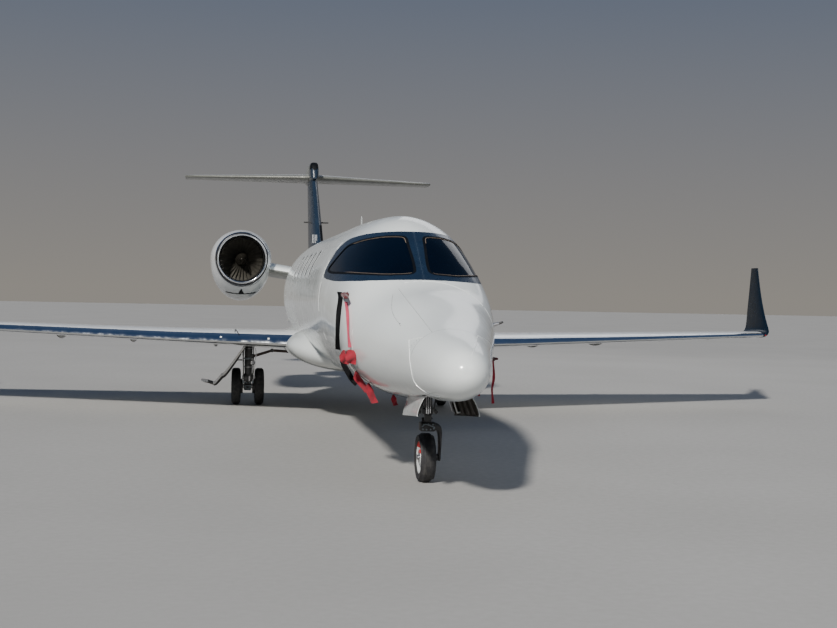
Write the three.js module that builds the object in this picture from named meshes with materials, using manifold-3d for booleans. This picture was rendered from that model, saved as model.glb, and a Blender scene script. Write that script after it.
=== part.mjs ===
// Business jet: a light twin-engined jet with a T-tail, parked on its landing gear.
// Millimetres, +Z up, nose towards -Y, left wing towards +X.
// The origin is on the ground, on the centreline, at the middle of the overall length.
// Places along the aircraft are given as stations, measured aft from the tip of the nose.

import * as THREE from 'three'
import Module from 'manifold-3d'
import { mergeVertices } from 'three/addons/utils/BufferGeometryUtils.js'

const wasm = await Module()
wasm.setup()

// Driving dimensions
const LENGTH = 17680
const WALL = 60
const PAST = 10
const TAIL_WALL = 40
const SEAT = 0.3
const RUN = 8
const COVE = 14
const RING_POINTS = 24
const SLIMMEST = 4
const FOIL_STEPS = 6
const ROUND = { bar: 8, hub: 12, wheel: 20, duct: 24, bore: 24 }
const MERGE = 1e-4

const y = station => station - LENGTH / 2
const V = (x, station, z) => new THREE.Vector3(x, y(station), z)

// Fuselage breaks between its panels, as stations
const RADOME_END = 700
const NOSE_END = 2100
const COCKPIT_END = 3850
const ENTRANCE_END = 5250
const WINDOWS_END = 8750
const CABIN_END = 10400
const TAIL_ROOM_END = 15200
const TAIL_END = 16100
const BULKHEAD = 80

// Fuselage sections: station, half width, top, bottom, height of the widest line, then the squareness of the
// part below that line and of the part above it (2 is an ellipse)
const FUSELAGE = [
  [0, 12, 1142, 1118, 1130, 2, 2], [30, 100, 1228, 1036, 1130, 2, 2], [100, 168, 1292, 970, 1134, 2, 2],
  [250, 236, 1356, 906, 1142, 2, 2], [450, 292, 1410, 876, 1156, 2.05, 2.05],
  [700, 350, 1464, 857, 1175, 2.1, 2.1], [1200, 465, 1590, 819, 1220, 2.15, 2.15],
  [1700, 590, 1740, 788, 1270, 2.2, 2.15], [2150, 695, 1893, 765, 1330, 2.2, 2.1],
  [2500, 766, 2125, 752, 1400, 2.15, 2.02], [2850, 800, 2358, 742, 1480, 2.1, 1.88],
  [3300, 822, 2532, 735, 1580, 2.05, 1.87], [3900, 858, 2583, 730, 1660, 2, 1.93],
  [4800, 872, 2590, 730, 1668, 2, 2], [9600, 872, 2590, 730, 1668, 2, 2],
  [10600, 848, 2580, 775, 1686, 2, 2], [11800, 760, 2535, 905, 1728, 2, 2],
  [13000, 620, 2465, 1090, 1785, 2, 2], [14200, 450, 2385, 1310, 1850, 2, 2],
  [15200, 290, 2310, 1530, 1920, 2, 2], [15900, 165, 2255, 1720, 1985, 2, 2],
  [16100, 60, 2150, 1880, 2010, 2, 2]
]

const materials = {
  white: [0xe9ecec, 0.25, 0], navy: [0x16233c, 0.25, 0], grey: [0xb9bdbf, 0.45, 0.1],
  steel: [0x8f9396, 0.4, 0.7], dark: [0x1c1d1f, 0.6, 0.1],
  glass: [0x14202c, 0.08, 0], tyre: [0x17171a, 0.85, 0], leather: [0xb59c7d, 0.7, 0],
  carpet: [0x6a6259, 0.95, 0], red: [0xb01c24, 0.8, 0]
}

const group = new THREE.Group()

function add (name, geometry, look, place = {}) {
  const [color, roughness, metalness] = materials[look]
  const mesh = new THREE.Mesh(geometry, new THREE.MeshStandardMaterial({ color, roughness, metalness }))
  mesh.name = name
  if (place.at) mesh.position.copy(place.at)
  if (place.mirror) mesh.scale.x = -1
  group.add(mesh)
}

// Both sides of the aircraft have the piece: the right one is the left one's mirror image.
function addPair (name, geometry, look, at = null) {
  add(`${name}_left`, geometry, look, { at })
  add(`${name}_right`, geometry, look, { at: at && at.clone().setX(-at.x), mirror: true })
}

// Solids for cutting and joining
function solid (geometry, matrix = null) {
  const bare = geometry.clone()
  bare.deleteAttribute('normal')
  bare.deleteAttribute('uv')
  if (matrix) bare.applyMatrix4(matrix)
  const merged = mergeVertices(bare, MERGE)
  return new wasm.Manifold(new wasm.Mesh({
    numProp: 3,
    vertProperties: new Float32Array(merged.attributes.position.array),
    triVerts: new Uint32Array(merged.index.array)
  }))
}

function shape (body) {
  const mesh = body.getMesh()
  const geometry = new THREE.BufferGeometry()
  geometry.setAttribute('position', new THREE.BufferAttribute(mesh.vertProperties, 3))
  geometry.setIndex(new THREE.BufferAttribute(mesh.triVerts, 1))
  geometry.computeVertexNormals()
  return geometry
}

function box (x0, x1, y0, y1, z0, z1) {
  const geometry = new THREE.BoxGeometry(x1 - x0, y1 - y0, z1 - z0)
  geometry.translate((x0 + x1) / 2, (y0 + y1) / 2, (z0 + z1) / 2)
  return geometry
}

const block = (x0, x1, station0, station1, z0, z1) => solid(box(x0, x1, y(station0), y(station1), z0, z1))

// A round bar, or a cone where its two radii differ, from one point to another
function rodGeometry (from, to, radius, radiusEnd = radius, sides = ROUND.bar) {
  const along = to.clone().sub(from)
  const geometry = new THREE.CylinderGeometry(radiusEnd, radius, along.length(), sides)
  const turn = new THREE.Quaternion().setFromUnitVectors(new THREE.Vector3(0, 1, 0), along.clone().normalize())
  geometry.applyQuaternion(turn)
  geometry.translate((from.x + to.x) / 2, (from.y + to.y) / 2, (from.z + to.z) / 2)
  return geometry
}

const rod = (...values) => solid(rodGeometry(...values))

// A profile of [radius, place along the axis] pairs, turned about the Y axis
function turnedY (profile, sides) {
  return new THREE.LatheGeometry(profile.map(([r, s]) => new THREE.Vector2(r, s)), sides)
}

// The same, turned about the X axis
function turnedX (profile, sides) {
  return turnedY(profile, sides).rotateZ(-Math.PI / 2)
}

// Closed rings of points, all with the same count, joined into one skin with flat ends. The diagonals are
// mirrored across the centreline, so that both sides of a symmetric body have the same facets.
function loft (rings) {
  const count = rings[0].length
  const positions = rings.flat().flatMap(p => [p.x, p.y, p.z])
  const index = []
  for (let i = 0; i + 1 < rings.length; i++) {
    for (let j = 0; j < count; j++) {
      const a = i * count + j
      const b = i * count + (j + 1) % count
      const rightSide = positions[3 * a] + positions[3 * b] < 0
      if (rightSide) index.push(a, a + count, b + count, a, b + count, b)
      else index.push(a, a + count, b, b, a + count, b + count)
    }
  }
  const last = (rings.length - 1) * count
  for (let j = 1; j + 1 < count; j++) {
    index.push(0, j, j + 1)
    index.push(last, last + j + 1, last + j)
  }
  if (signedVolume(positions, index) < 0) index.reverse()
  const geometry = new THREE.BufferGeometry()
  geometry.setAttribute('position', new THREE.Float32BufferAttribute(positions, 3))
  geometry.setIndex(index)
  return geometry
}

function signedVolume (positions, index) {
  const point = i => new THREE.Vector3().fromArray(positions, 3 * i)
  let volume = 0
  for (let i = 0; i < index.length; i += 3) {
    volume += point(index[i]).dot(point(index[i + 1]).cross(point(index[i + 2]))) / 6
  }
  return volume
}

// Straight-line reading of a table by its first column
function reading (table, at) {
  const last = table.length - 1
  if (at <= table[0][0]) return table[0]
  if (at >= table[last][0]) return table[last]
  const i = table.findIndex(row => row[0] > at) - 1
  const t = (at - table[i][0]) / (table[i + 1][0] - table[i][0])
  return table[i].map((value, k) => value + t * (table[i + 1][k] - value))
}

// One oval section from a table row of station, half width, top, bottom, height of the widest line and the
// squareness below and above that line
function oval (row, inset) {
  const [station, half, top, bottom, middle, below = 2, above = below] = row
  const points = []
  for (let i = 0; i < RING_POINTS; i++) {
    const angle = 2 * Math.PI * i / RING_POINTS
    const [c, s] = [Math.cos(angle), Math.sin(angle)]
    const [reach, square] = s > 0 ? [top - middle, above] : [middle - bottom, below]
    const x = Math.sign(c) * Math.abs(c) ** (2 / square) * Math.max(half - inset, SLIMMEST)
    const z = Math.sign(s) * Math.abs(s) ** (2 / square) * Math.max(reach - inset, SLIMMEST)
    points.push(V(x, station, middle + z))
  }
  return points
}

// The body between two stations of a table, with its skin moved in by the inset
function hull (table, from, to, inset = 0) {
  const between = table.map(row => row[0]).filter(station => station > from && station < to)
  return loft([from, ...between, to].map(station => ringAt(table, station, inset)))
}

// The section at any station, on the straight lines between the table's sections
function ringAt (table, station, inset) {
  const past = table.findIndex(row => row[0] > station)
  const i = past < 0 ? table.length - 1 : Math.max(past, 1)
  const [before, after] = [table[i - 1], table[i]]
  const t = (station - before[0]) / (after[0] - before[0])
  const end = oval(after, inset)
  return oval(before, inset).map((point, k) => point.lerp(end[k], t))
}

const fuselage = (from, to, inset = 0) => solid(hull(FUSELAGE, from, to, inset))

// Height of the fuselage's underside at a station and a distance from the centreline
function underside (station, x) {
  const [, half, , bottom, middle, square] = reading(FUSELAGE, station)
  return middle - (middle - bottom) * (1 - (x / half) ** square) ** (1 / square)
}

// Distance of the fuselage's skin from the centreline at a station and a height
function sideOf (station, z) {
  const [, half, top, bottom, middle, below, above] = reading(FUSELAGE, station)
  const [reach, square] = z > middle ? [top - middle, above] : [middle - bottom, below]
  return half * (1 - (Math.abs(z - middle) / reach) ** square) ** (1 / square)
}

// Wing section: points from the trailing edge over the top to the leading edge and back below. The
// underside is flatter than the top by the factor under.
function foil (chord, ratio, grow, under = 1) {
  const half = c => 5 * ratio * chord *
    (0.2969 * Math.sqrt(c) - 0.126 * c - 0.3516 * c ** 2 + 0.2843 * c ** 3 - 0.1005 * c ** 4)
  const along = c => c * (chord + 2 * grow) - grow
  const upper = []
  const lower = []
  for (let i = 0; i <= FOIL_STEPS; i++) {
    const c = (1 + Math.cos(Math.PI * i / FOIL_STEPS)) / 2
    upper.push([along(c), grow + half(c)])
    if (i < FOIL_STEPS || grow > 0) lower.unshift([along(c), -grow - under * half(c)])
  }
  return [...upper, ...lower]
}

// Lifting panel from rows of x, leading-edge station, height, chord, thickness ratio, lean of the section's
// thickness from upright (degrees, towards the centreline), incidence (degrees) and flatness of the underside
function panelGeometry (rows, grow = 0, drop = 0) {
  return loft(rows.map(([x, lead, z, chord, ratio, lean = 0, incidence = 0, under = 1]) => {
    const [a, b] = [lean * Math.PI / 180, incidence * Math.PI / 180]
    return foil(chord, ratio, grow, under).map(([c, h]) => {
      const up = h * Math.cos(b) - c * Math.sin(b) - drop
      const aft = c * Math.cos(b) + h * Math.sin(b)
      return V(x - up * Math.sin(a), lead + aft, z + up * Math.cos(a))
    })
  }))
}

const panel = (rows, grow, drop) => solid(panelGeometry(rows, grow, drop))

// Local frame of a hinge line: x along the hinge, y aft, z across the panel
function hingeFrame (from, to) {
  const along = to.clone().sub(from).normalize()
  const aft = new THREE.Vector3(0, 1, 0)
  aft.addScaledVector(along, -aft.dot(along)).normalize()
  const across = along.clone().cross(aft)
  return new THREE.Matrix4().makeBasis(along, aft, across).setPosition(from)
}

// Splits a control surface off a panel. The surface is what lies aft of the hinge line, with a round nose
// about it; the panel keeps a cove around that nose and a pin at each end that carries the surface.
function splitAtHinge (body, from, to, noseFrom, noseTo) {
  const FAR = 1500
  const PIN_ROOT = 30
  const frame = hingeFrame(from, to)
  const length = from.distanceTo(to)
  const slab = grow => solid(box(-grow, length + grow, 0, FAR, -FAR, FAR), frame)
  const at = x => new THREE.Vector3(x, 0, 0)
  const nose = (grow, ends) =>
    solid(rodGeometry(at(-ends), at(length + ends), noseFrom + grow, noseTo + grow, ROUND.hub), frame)
  const pin = (x0, x1, radius) => solid(rodGeometry(at(x0), at(x1), radius, radius, ROUND.bar), frame)
  const moving = body.intersect(slab(0).add(nose(0, 0)))
  const fixed = body.subtract(slab(RUN).add(nose(COVE, RUN)))
    .add(pin(-RUN - PIN_ROOT, -SEAT, noseFrom / 2))
    .add(pin(length + SEAT, length + RUN + PIN_ROOT, noseTo / 2))
  return { fixed, moving }
}

// Prism through points on the skin, along a direction, to cut an opening or its pane
function punch (points, direction, scale = 1) {
  const REACH = 700
  const out = direction.clone().normalize()
  const side = new THREE.Vector3(0, 0, 1).cross(out).normalize()
  const up = out.clone().cross(side)
  const middle = points.reduce((sum, p) => sum.add(p), new THREE.Vector3()).divideScalar(points.length)
  const flat = points.map(p => {
    const offset = p.clone().sub(middle)
    return new THREE.Vector2(offset.dot(side) * scale, offset.dot(up) * scale)
  })
  const geometry = new THREE.ExtrudeGeometry(new THREE.Shape(flat), { depth: 2 * REACH, bevelEnabled: false })
  geometry.translate(0, 0, -REACH)
  return solid(geometry, new THREE.Matrix4().makeBasis(side, up, out).setPosition(middle))
}

// Fuselage: radome, solid nose with the nose-wheel well, hollow cockpit, three cabin panels and tail cone

const WELL = { half: 212, from: 760, to: 2040, roof: 1120 }

function buildNose () {
  add('radome', hull(FUSELAGE, 0, RADOME_END - SEAT), 'white')
  const well = block(-WELL.half, WELL.half, WELL.from, WELL.to, 0, WELL.roof)
  add('nose_section', shape(fuselage(RADOME_END, NOSE_END).subtract(well)), 'white')
}

// Jacking pads: one under the cockpit, one under each wing
const JACK = {
  radius: 32, noseStation: 2300, noseFace: 748, wingX: 2050, wingStation: 9250, wingFace: 942, deep: 40
}

const jackPad = (x, station, face) => rod(V(x, station, face), V(x, station, face + JACK.deep), JACK.radius)

// Windscreen pane on the left: points of its outline on the skin
const SCREEN = [
  V(103, 2246, 1944), V(218, 2259, 1932), V(467, 2425, 1929), V(678, 2912, 1941), V(768, 3500, 1958),
  V(779, 3692, 1984), V(729, 3606, 2074), V(664, 3516, 2163), V(598, 3445, 2238), V(516, 3248, 2278),
  V(397, 3041, 2309), V(268, 2907, 2325), V(136, 2821, 2325), V(86, 2762, 2299), V(65, 2410, 2058),
  V(71, 2277, 1966)
]
const SCREEN_FACING = new THREE.Vector3(0.62, -0.52, 0.59)
const PANE = { inset: 8, thick: 22, scale: 0.9985 }

function mirrored (geometry) {
  const flipped = geometry.clone().scale(-1, 1, 1)
  flipped.index.array.reverse()
  return flipped
}

function buildCockpit () {
  const screen = punch(SCREEN, SCREEN_FACING)
  const otherScreen = solid(mirrored(shape(screen)))
  const room = fuselage(NOSE_END - PAST, COCKPIT_END + PAST, WALL)
  const pad = jackPad(0, JACK.noseStation, JACK.noseFace)
  const shell = fuselage(NOSE_END + SEAT, COCKPIT_END).add(pad)
    .subtract(room).subtract(screen).subtract(otherScreen)
  add('cockpit_section', shape(shell), 'white')
  const skin = fuselage(NOSE_END + SEAT, COCKPIT_END, PANE.inset)
    .subtract(fuselage(NOSE_END - PAST, COCKPIT_END + PAST, PANE.inset + PANE.thick))
  addPair('windscreen', shape(skin.intersect(punch(SCREEN, SCREEN_FACING, PANE.scale))), 'glass')
}

// Cabin windows and the two-part door on the left side
const WINDOW = { stations: [5680, 6380, 7080, 7780, 8480], wide: 290, tall: 350, middle: 2085, corner: 100 }
const BAND = { from: 5450, to: 8710, low: 1880, high: 2290, inset: 60.3, thick: 12 }
const DOOR = { from: 3990, to: 4740, sill: 1060, split: 1790, top: 2400, gap: 10, inner: 250, outer: 1100 }
const DOOR_PIN = { radius: 10, root: 30, deep: 22 }
const STEP = { heights: [1190, 1400, 1610], thick: 40, from: 560, to: 860, inset: 60, skin: 20 }

function windowPrism (station, shrink = 0) {
  const [w, h] = [WINDOW.wide / 2 - shrink, WINDOW.tall / 2 - shrink]
  const r = WINDOW.corner
  const outline = new THREE.Shape()
  outline.moveTo(-w + r, -h)
  outline.lineTo(w - r, -h)
  outline.absarc(w - r, -h + r, r, -Math.PI / 2, 0)
  outline.absarc(w - r, h - r, r, 0, Math.PI / 2)
  outline.absarc(-w + r, h - r, r, Math.PI / 2, Math.PI)
  outline.absarc(-w + r, -h + r, r, Math.PI, 1.5 * Math.PI)
  const geometry = new THREE.ExtrudeGeometry(outline, { depth: 500, bevelEnabled: false, curveSegments: 1 })
  const basis = new THREE.Matrix4().makeBasis(
    new THREE.Vector3(0, 1, 0), new THREE.Vector3(0, 0, 1), new THREE.Vector3(1, 0, 0))
  return solid(geometry, basis.setPosition(V(500, station, WINDOW.middle)))
}

function allWindows (shrink) {
  return WINDOW.stations.map(station => windowPrism(station, shrink)).reduce((all, one) => all.add(one))
}

function buildCabin () {
  const windows = allWindows(0)
  const otherWindows = solid(mirrored(shape(windows)))
  const doorway = block(DOOR.inner, DOOR.outer, DOOR.from, DOOR.to, DOOR.sill, DOOR.top)
  const pin = (p, from, to) => rod(V(p.x, from, p.z), V(p.x, to, p.z), DOOR_PIN.radius)
  const pins = hingePoints().flatMap(p => [
    pin(p, DOOR.from - DOOR_PIN.root, DOOR.from + DOOR.gap - SEAT),
    pin(p, DOOR.to - DOOR.gap + SEAT, DOOR.to + DOOR_PIN.root)
  ])
  const room = fuselage(COCKPIT_END - PAST, CABIN_END - BULKHEAD, WALL)
  const shellOf = (from, to) => fuselage(from + SEAT, to).subtract(room)
  let entrance = shellOf(COCKPIT_END, ENTRANCE_END).subtract(doorway)
  for (const pin of pins) entrance = entrance.add(pin)
  const cabin = shellOf(ENTRANCE_END, WINDOWS_END).subtract(windows).subtract(otherWindows)
  add('entrance_section', shape(entrance), 'white')
  add('cabin_section', shape(cabin), 'white')
  add('baggage_section', shape(shellOf(WINDOWS_END, CABIN_END)), 'white')
  const behindPanes = fuselage(BAND.from - PAST, BAND.to + PAST, BAND.inset + BAND.thick / 2)
  const skin = fuselage(BAND.from, BAND.to, PANE.inset).subtract(behindPanes)
  const band = fuselage(BAND.from, BAND.to, BAND.inset)
    .subtract(fuselage(BAND.from - PAST, BAND.to + PAST, BAND.inset + BAND.thick))
    .intersect(block(0, DOOR.outer, BAND.from, BAND.to, BAND.low, BAND.high))
  addPair('cabin_windows', shape(skin.intersect(allWindows(2 * SEAT)).add(band)), 'glass')
}

// Hinge pins of the two door halves: just inside the skin, at the top and at the sill
function hingePoints () {
  const { deep } = DOOR_PIN
  const heights = [DOOR.top - DOOR.gap - deep, DOOR.sill + DOOR.gap + deep]
  return heights.map(z => ({ x: sideOf((DOOR.from + DOOR.to) / 2, z) - deep, z }))
}

function buildDoor () {
  const [from, to] = [DOOR.from + DOOR.gap, DOOR.to - DOOR.gap]
  const skin = fuselage(from, to).subtract(fuselage(from - PAST, to + PAST, WALL))
  const slice = (low, high) => skin.intersect(block(DOOR.inner, DOOR.outer, from, to, low, high))
  const upper = slice(DOOR.split + DOOR.gap / 2, DOOR.top - DOOR.gap)
  const pane = windowPrism((from + to) / 2).subtract(fuselage(from, to, PANE.inset))
  add('passenger_door_upper', shape(upper.subtract(pane)), 'white')
  let lower = slice(DOOR.sill + DOOR.gap, DOOR.split - DOOR.gap / 2)
  for (const z of STEP.heights) {
    const step = block(STEP.from, STEP.to, from + STEP.inset, to - STEP.inset, z, z + STEP.thick)
    lower = lower.add(step.intersect(fuselage(from, to, STEP.skin)))
  }
  add('passenger_door_lower', shape(lower), 'white')
}

function buildTailCone () {
  const room = fuselage(CABIN_END - PAST, TAIL_ROOM_END, TAIL_WALL)
  add('tail_cone', shape(fuselage(CABIN_END + SEAT, TAIL_END).subtract(room)), 'white')
}

// Cabin fittings, cut to the inside of the shell
const FLOOR = { top: 1020, from: 2300, to: 10250, wide: 900 }
const DASH = { from: 2560, to: 2800, top: 1760 }
const CHAIR = { depth: 480, foot: 280, cushion: 420, back: 110, high: 1000, rail: 21, post: 120 }
const PILOTS = { sides: [-350, 350], station: 3020, width: 400 }
const CLUB = { x: 430, width: 460, rail: [320, 530, 5300, 9300], aft: [5480, 7560], forward: [6700, 8800] }

// A seat on its pedestal, which faces forward or aft; the station is where its cushion starts
function seat (x, station, width, faceAft = false) {
  const { depth, foot, cushion, back, high, post } = CHAIR
  const side = width / 2
  const rear = faceAft ? [station - back - 1, station + 1] : [station + depth - 1, station + depth + back + 1]
  return block(x - side, x + side, station, station + depth, FLOOR.top + foot, FLOOR.top + cushion)
    .add(block(x - post, x + post, station + 100, station + 380, FLOOR.top + 20, FLOOR.top + foot + 10))
    .add(block(x - side, x + side, ...rear, FLOOR.top + foot + 20, FLOOR.top + high))
}

function buildInside () {
  const inside = fuselage(NOSE_END + 20, CABIN_END - BULKHEAD - 10, WALL + 2 * SEAT)
  const floor = block(-FLOOR.wide, FLOOR.wide, FLOOR.from, FLOOR.to, 700, FLOOR.top)
  add('cabin_floor', shape(floor.intersect(inside)), 'carpet')
  const base = FLOOR.top + SEAT
  const dash = block(-FLOOR.wide, FLOOR.wide, DASH.from, DASH.to, base, DASH.top)
  add('instrument_panel', shape(dash.intersect(inside)), 'dark')
  let pilots = block(-420, 420, 3060, 3500, base, FLOOR.top + CHAIR.rail)
  for (const x of PILOTS.sides) pilots = pilots.add(seat(x, PILOTS.station, PILOTS.width))
  add('pilot_seats', shape(pilots), 'leather')
  let chairs = block(...CLUB.rail, base, FLOOR.top + CHAIR.rail)
  for (const station of CLUB.aft) chairs = chairs.add(seat(CLUB.x, station, CLUB.width, true))
  for (const station of CLUB.forward) chairs = chairs.add(seat(CLUB.x, station, CLUB.width))
  addPair('cabin_seats', shape(chairs), 'leather')
}

// Wing: rows of x, leading-edge station, height, chord, thickness ratio, lean, incidence, flatness below
const WING = [
  [300, 7565, 1010, 3180, 0.13, 0, 1.5, 0.44], [2500, 8350, 1050, 2400, 0.125, 0, 1, 0.4],
  [7000, 9950, 1178, 1060, 0.1, 0, 0, 0.95]
]
const WINGLET = [
  [7000 + SEAT, 9950, 1178, 1060, 0.1, 0, 0, 0.95], [7070, 9985, 1186, 1022, 0.1, 28],
  [7125, 10035, 1232, 965, 0.09, 62], [7148, 10120, 1310, 875, 0.085, 84],
  [7158, 10270, 1500, 712, 0.085, 86], [7172, 10440, 1780, 525, 0.085, 87],
  [7195, 10665, 2300, 265, 0.085, 87]
]
// Fairing under the wing's middle: station, half width, top, bottom, height of the widest line
const FAIRING = [
  [6900, 420, 980, 700, 860], [7300, 800, 1180, 668, 960], [7800, 960, 1280, 655, 1010],
  [10300, 960, 1280, 655, 1010], [11000, 860, 1230, 720, 1010], [11800, 560, 1160, 880, 1010]
]

// Chord line of the wing at x: leading edge, chord, and height of the section's middle at a share of the chord
function wingAt (x, share) {
  const [, lead, z, chord, ratio, , incidence] = reading(WING, x)
  const down = share * chord * Math.sin(incidence * Math.PI / 180)
  return { station: lead + share * chord, z: z - down, chord, ratio }
}

function foilHalf (chord, ratio, c) {
  const row = foil(chord, ratio, 0).slice(0, FOIL_STEPS + 1).map(p => [p[0] / chord, p[1]]).reverse()
  return reading(row, c)[1]
}

const AILERON = { from: 5050, to: 6800, share: 0.76 }
const FLAP = { from: 1180, to: 4950, share: 0.78, drop: 120, pods: [1900, 3155, 4246] }
const SPOILER = { from: 2700, to: 4100, share: 0.6, wide: 290, thick: 20 }

function wingPoint (x, share, rise = 0) {
  const place = wingAt(x, share)
  return V(x, place.station, place.z + rise)
}

// Flap: everything aft of a straight front line, hinged below the wing inside its track pods
function splitFlap (body) {
  const FAR = 1500
  const from = wingPoint(FLAP.from, FLAP.share)
  const to = wingPoint(FLAP.to, FLAP.share)
  const frame = hingeFrame(from, to)
  const length = from.distanceTo(to)
  const slab = grow => solid(box(-grow, length + grow, -grow, FAR, -FAR, FAR), frame)
  let moving = body.intersect(slab(0))
  let fixed = body.subtract(slab(RUN))
  for (const x of FLAP.pods) {
    const along = (x - FLAP.from) / (FLAP.to - FLAP.from) * length
    const arm = (x0, x1, y0, y1) =>
      solid(box(along + x0, along + x1, y0, y1, -12 - FLAP.drop, 12 - FLAP.drop), frame)
    const pivot = x => new THREE.Vector3(along + x, POD.pivot, -FLAP.drop)
    const lug = (x0, x1) => solid(rodGeometry(pivot(x0), pivot(x1), POD.lug, POD.lug, ROUND.hub), frame)
    fixed = fixed.add(podHalf(frame, along, ...POD.fixed))
      .add(arm(-30, -1, -70, POD.pivot)).add(lug(-30, -SEAT))
    moving = moving.add(podHalf(frame, along, ...POD.moving))
      .add(arm(1, 30, POD.pivot, 40)).add(lug(SEAT, 30))
  }
  return { fixed, moving }
}

// Track pods under the wing: distances aft of the flap's front line
const POD = {
  half: 38, nose: -560, tail: 520, fixed: [-430, -60], moving: [20, 330], pivot: -30, lug: 16, keel: 16
}

// One half of a pod, between two distances aft of the flap's front line
function podHalf (frame, along, from, to) {
  const { half, nose, tail, keel } = POD
  const deep = d => FLAP.drop + 14 - 120 * (d / (d < 0 ? nose : tail)) ** 2
  const section = d => [
    [-half, 20], [-half, keel - deep(d)], [0, -deep(d)], [half, keel - deep(d)], [half, 20]
  ]
  const steps = [0, 0.5, 1].map(t => from + t * (to - from))
  return solid(loft(steps.map(d => section(d).map(([x, z]) => new THREE.Vector3(along + x, d, z)))), frame)
}

// Spoiler: a panel let into the top skin ahead of the flap, hinged at its front edge
function splitSpoiler (body) {
  const skinAt = x => {
    const place = wingAt(x, SPOILER.share)
    return wingPoint(x, SPOILER.share, foilHalf(place.chord, place.ratio, SPOILER.share) - SPOILER.thick / 2)
  }
  const [from, to] = [skinAt(SPOILER.from), skinAt(SPOILER.to)]
  const frame = hingeFrame(from, to)
  const length = from.distanceTo(to)
  const lead = SPOILER.thick / 2
  const slab = grow => solid(box(-grow, length + grow, -lead - grow, SPOILER.wide + grow, -200, 200), frame)
  const moving = panel(WING).intersect(slab(0)).subtract(panel(WING, 0, SPOILER.thick))
  const recess = slab(RUN).subtract(panel(WING, 0, SPOILER.thick + RUN))
  const at = x => new THREE.Vector3(x, 0, 0)
  const fixed = body.subtract(recess)
    .add(solid(rodGeometry(at(-RUN - 12), at(-SEAT), 6, 6, 12), frame))
    .add(solid(rodGeometry(at(length + SEAT), at(length + RUN + 12), 6, 6, 12), frame))
  return { fixed, moving }
}

function buildWing () {
  const skin = fuselage(6500, 12000, -SEAT)
  const pad = jackPad(JACK.wingX, JACK.wingStation, JACK.wingFace)
  const whole = panel(WING).add(pad).subtract(skin)
  const noseAt = x => {
    const place = wingAt(x, AILERON.share)
    return foilHalf(place.chord, place.ratio, AILERON.share)
  }
  const withAileron = splitAtHinge(whole, wingPoint(AILERON.from, AILERON.share),
    wingPoint(AILERON.to, AILERON.share), noseAt(AILERON.from), noseAt(AILERON.to))
  const withFlap = splitFlap(withAileron.fixed)
  const withSpoiler = splitSpoiler(withFlap.fixed)
  addPair('wing', shape(withSpoiler.fixed), 'white')
  addPair('aileron', shape(withAileron.moving), 'white')
  addPair('flap', shape(withFlap.moving), 'white')
  addPair('spoiler', shape(withSpoiler.moving), 'grey')
  addPair('winglet', panelGeometry(WINGLET), 'navy')
  const wings = panel(WING, SEAT)
  const fairing = solid(hull(FAIRING, 6900, 11800)).subtract(skin)
    .subtract(wings).subtract(solid(mirrored(shape(wings))))
  add('wing_fairing', shape(fairing), 'white')
}

// Tail: fin and stabilizer rows. The fin's rows are height, leading-edge station, chord, half thickness ratio.
const FIN = [[2120, 13650, 2880, 0.1], [2500, 13980, 2620, 0.1], [3968, 15567, 1694, 0.1]]
const RUDDER = { low: 2470, high: 3790, share: 0.7 }
const STABILIZER = [[0, 15900, 4050, 1450, 0.11], [2560, 16840, 4070, 840, 0.09]]
const ELEVATOR = { from: 260, to: 2440, share: 0.7 }
const CAP = [
  [15480, 30, 4010, 3985, 3995, 2, 2], [15560, 62, 4110, 3968, 4010, 2, 2.2],
  [15680, 84, 4235, 3962, 4040, 2, 2.5], [15800, 92, 4318, 3962, 4060, 2.1, 2.7],
  [15950, 100, 4340, 3962, 4070, 2.1, 2.8], [16600, 118, 4306, 3962, 4070, 2.1, 2.5],
  [17200, 80, 4205, 3970, 4070, 2, 2.2], [17550, 22, 4110, 4030, 4070, 2, 2]
]
const VENTRAL = [[0, 14150, 2050, 0.045], [620, 15250, 900, 0.045]]
const VENTRAL_ROOT = { x: 120, z: 1640, lean: 55 }

// Upright panel from rows of height, leading-edge station, chord, thickness ratio
function finGeometry (rows, grow = 0) {
  return loft(rows.map(([z, lead, chord, ratio]) =>
    foil(chord, ratio, grow).map(([c, h]) => V(h, lead + c, z))))
}

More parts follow.
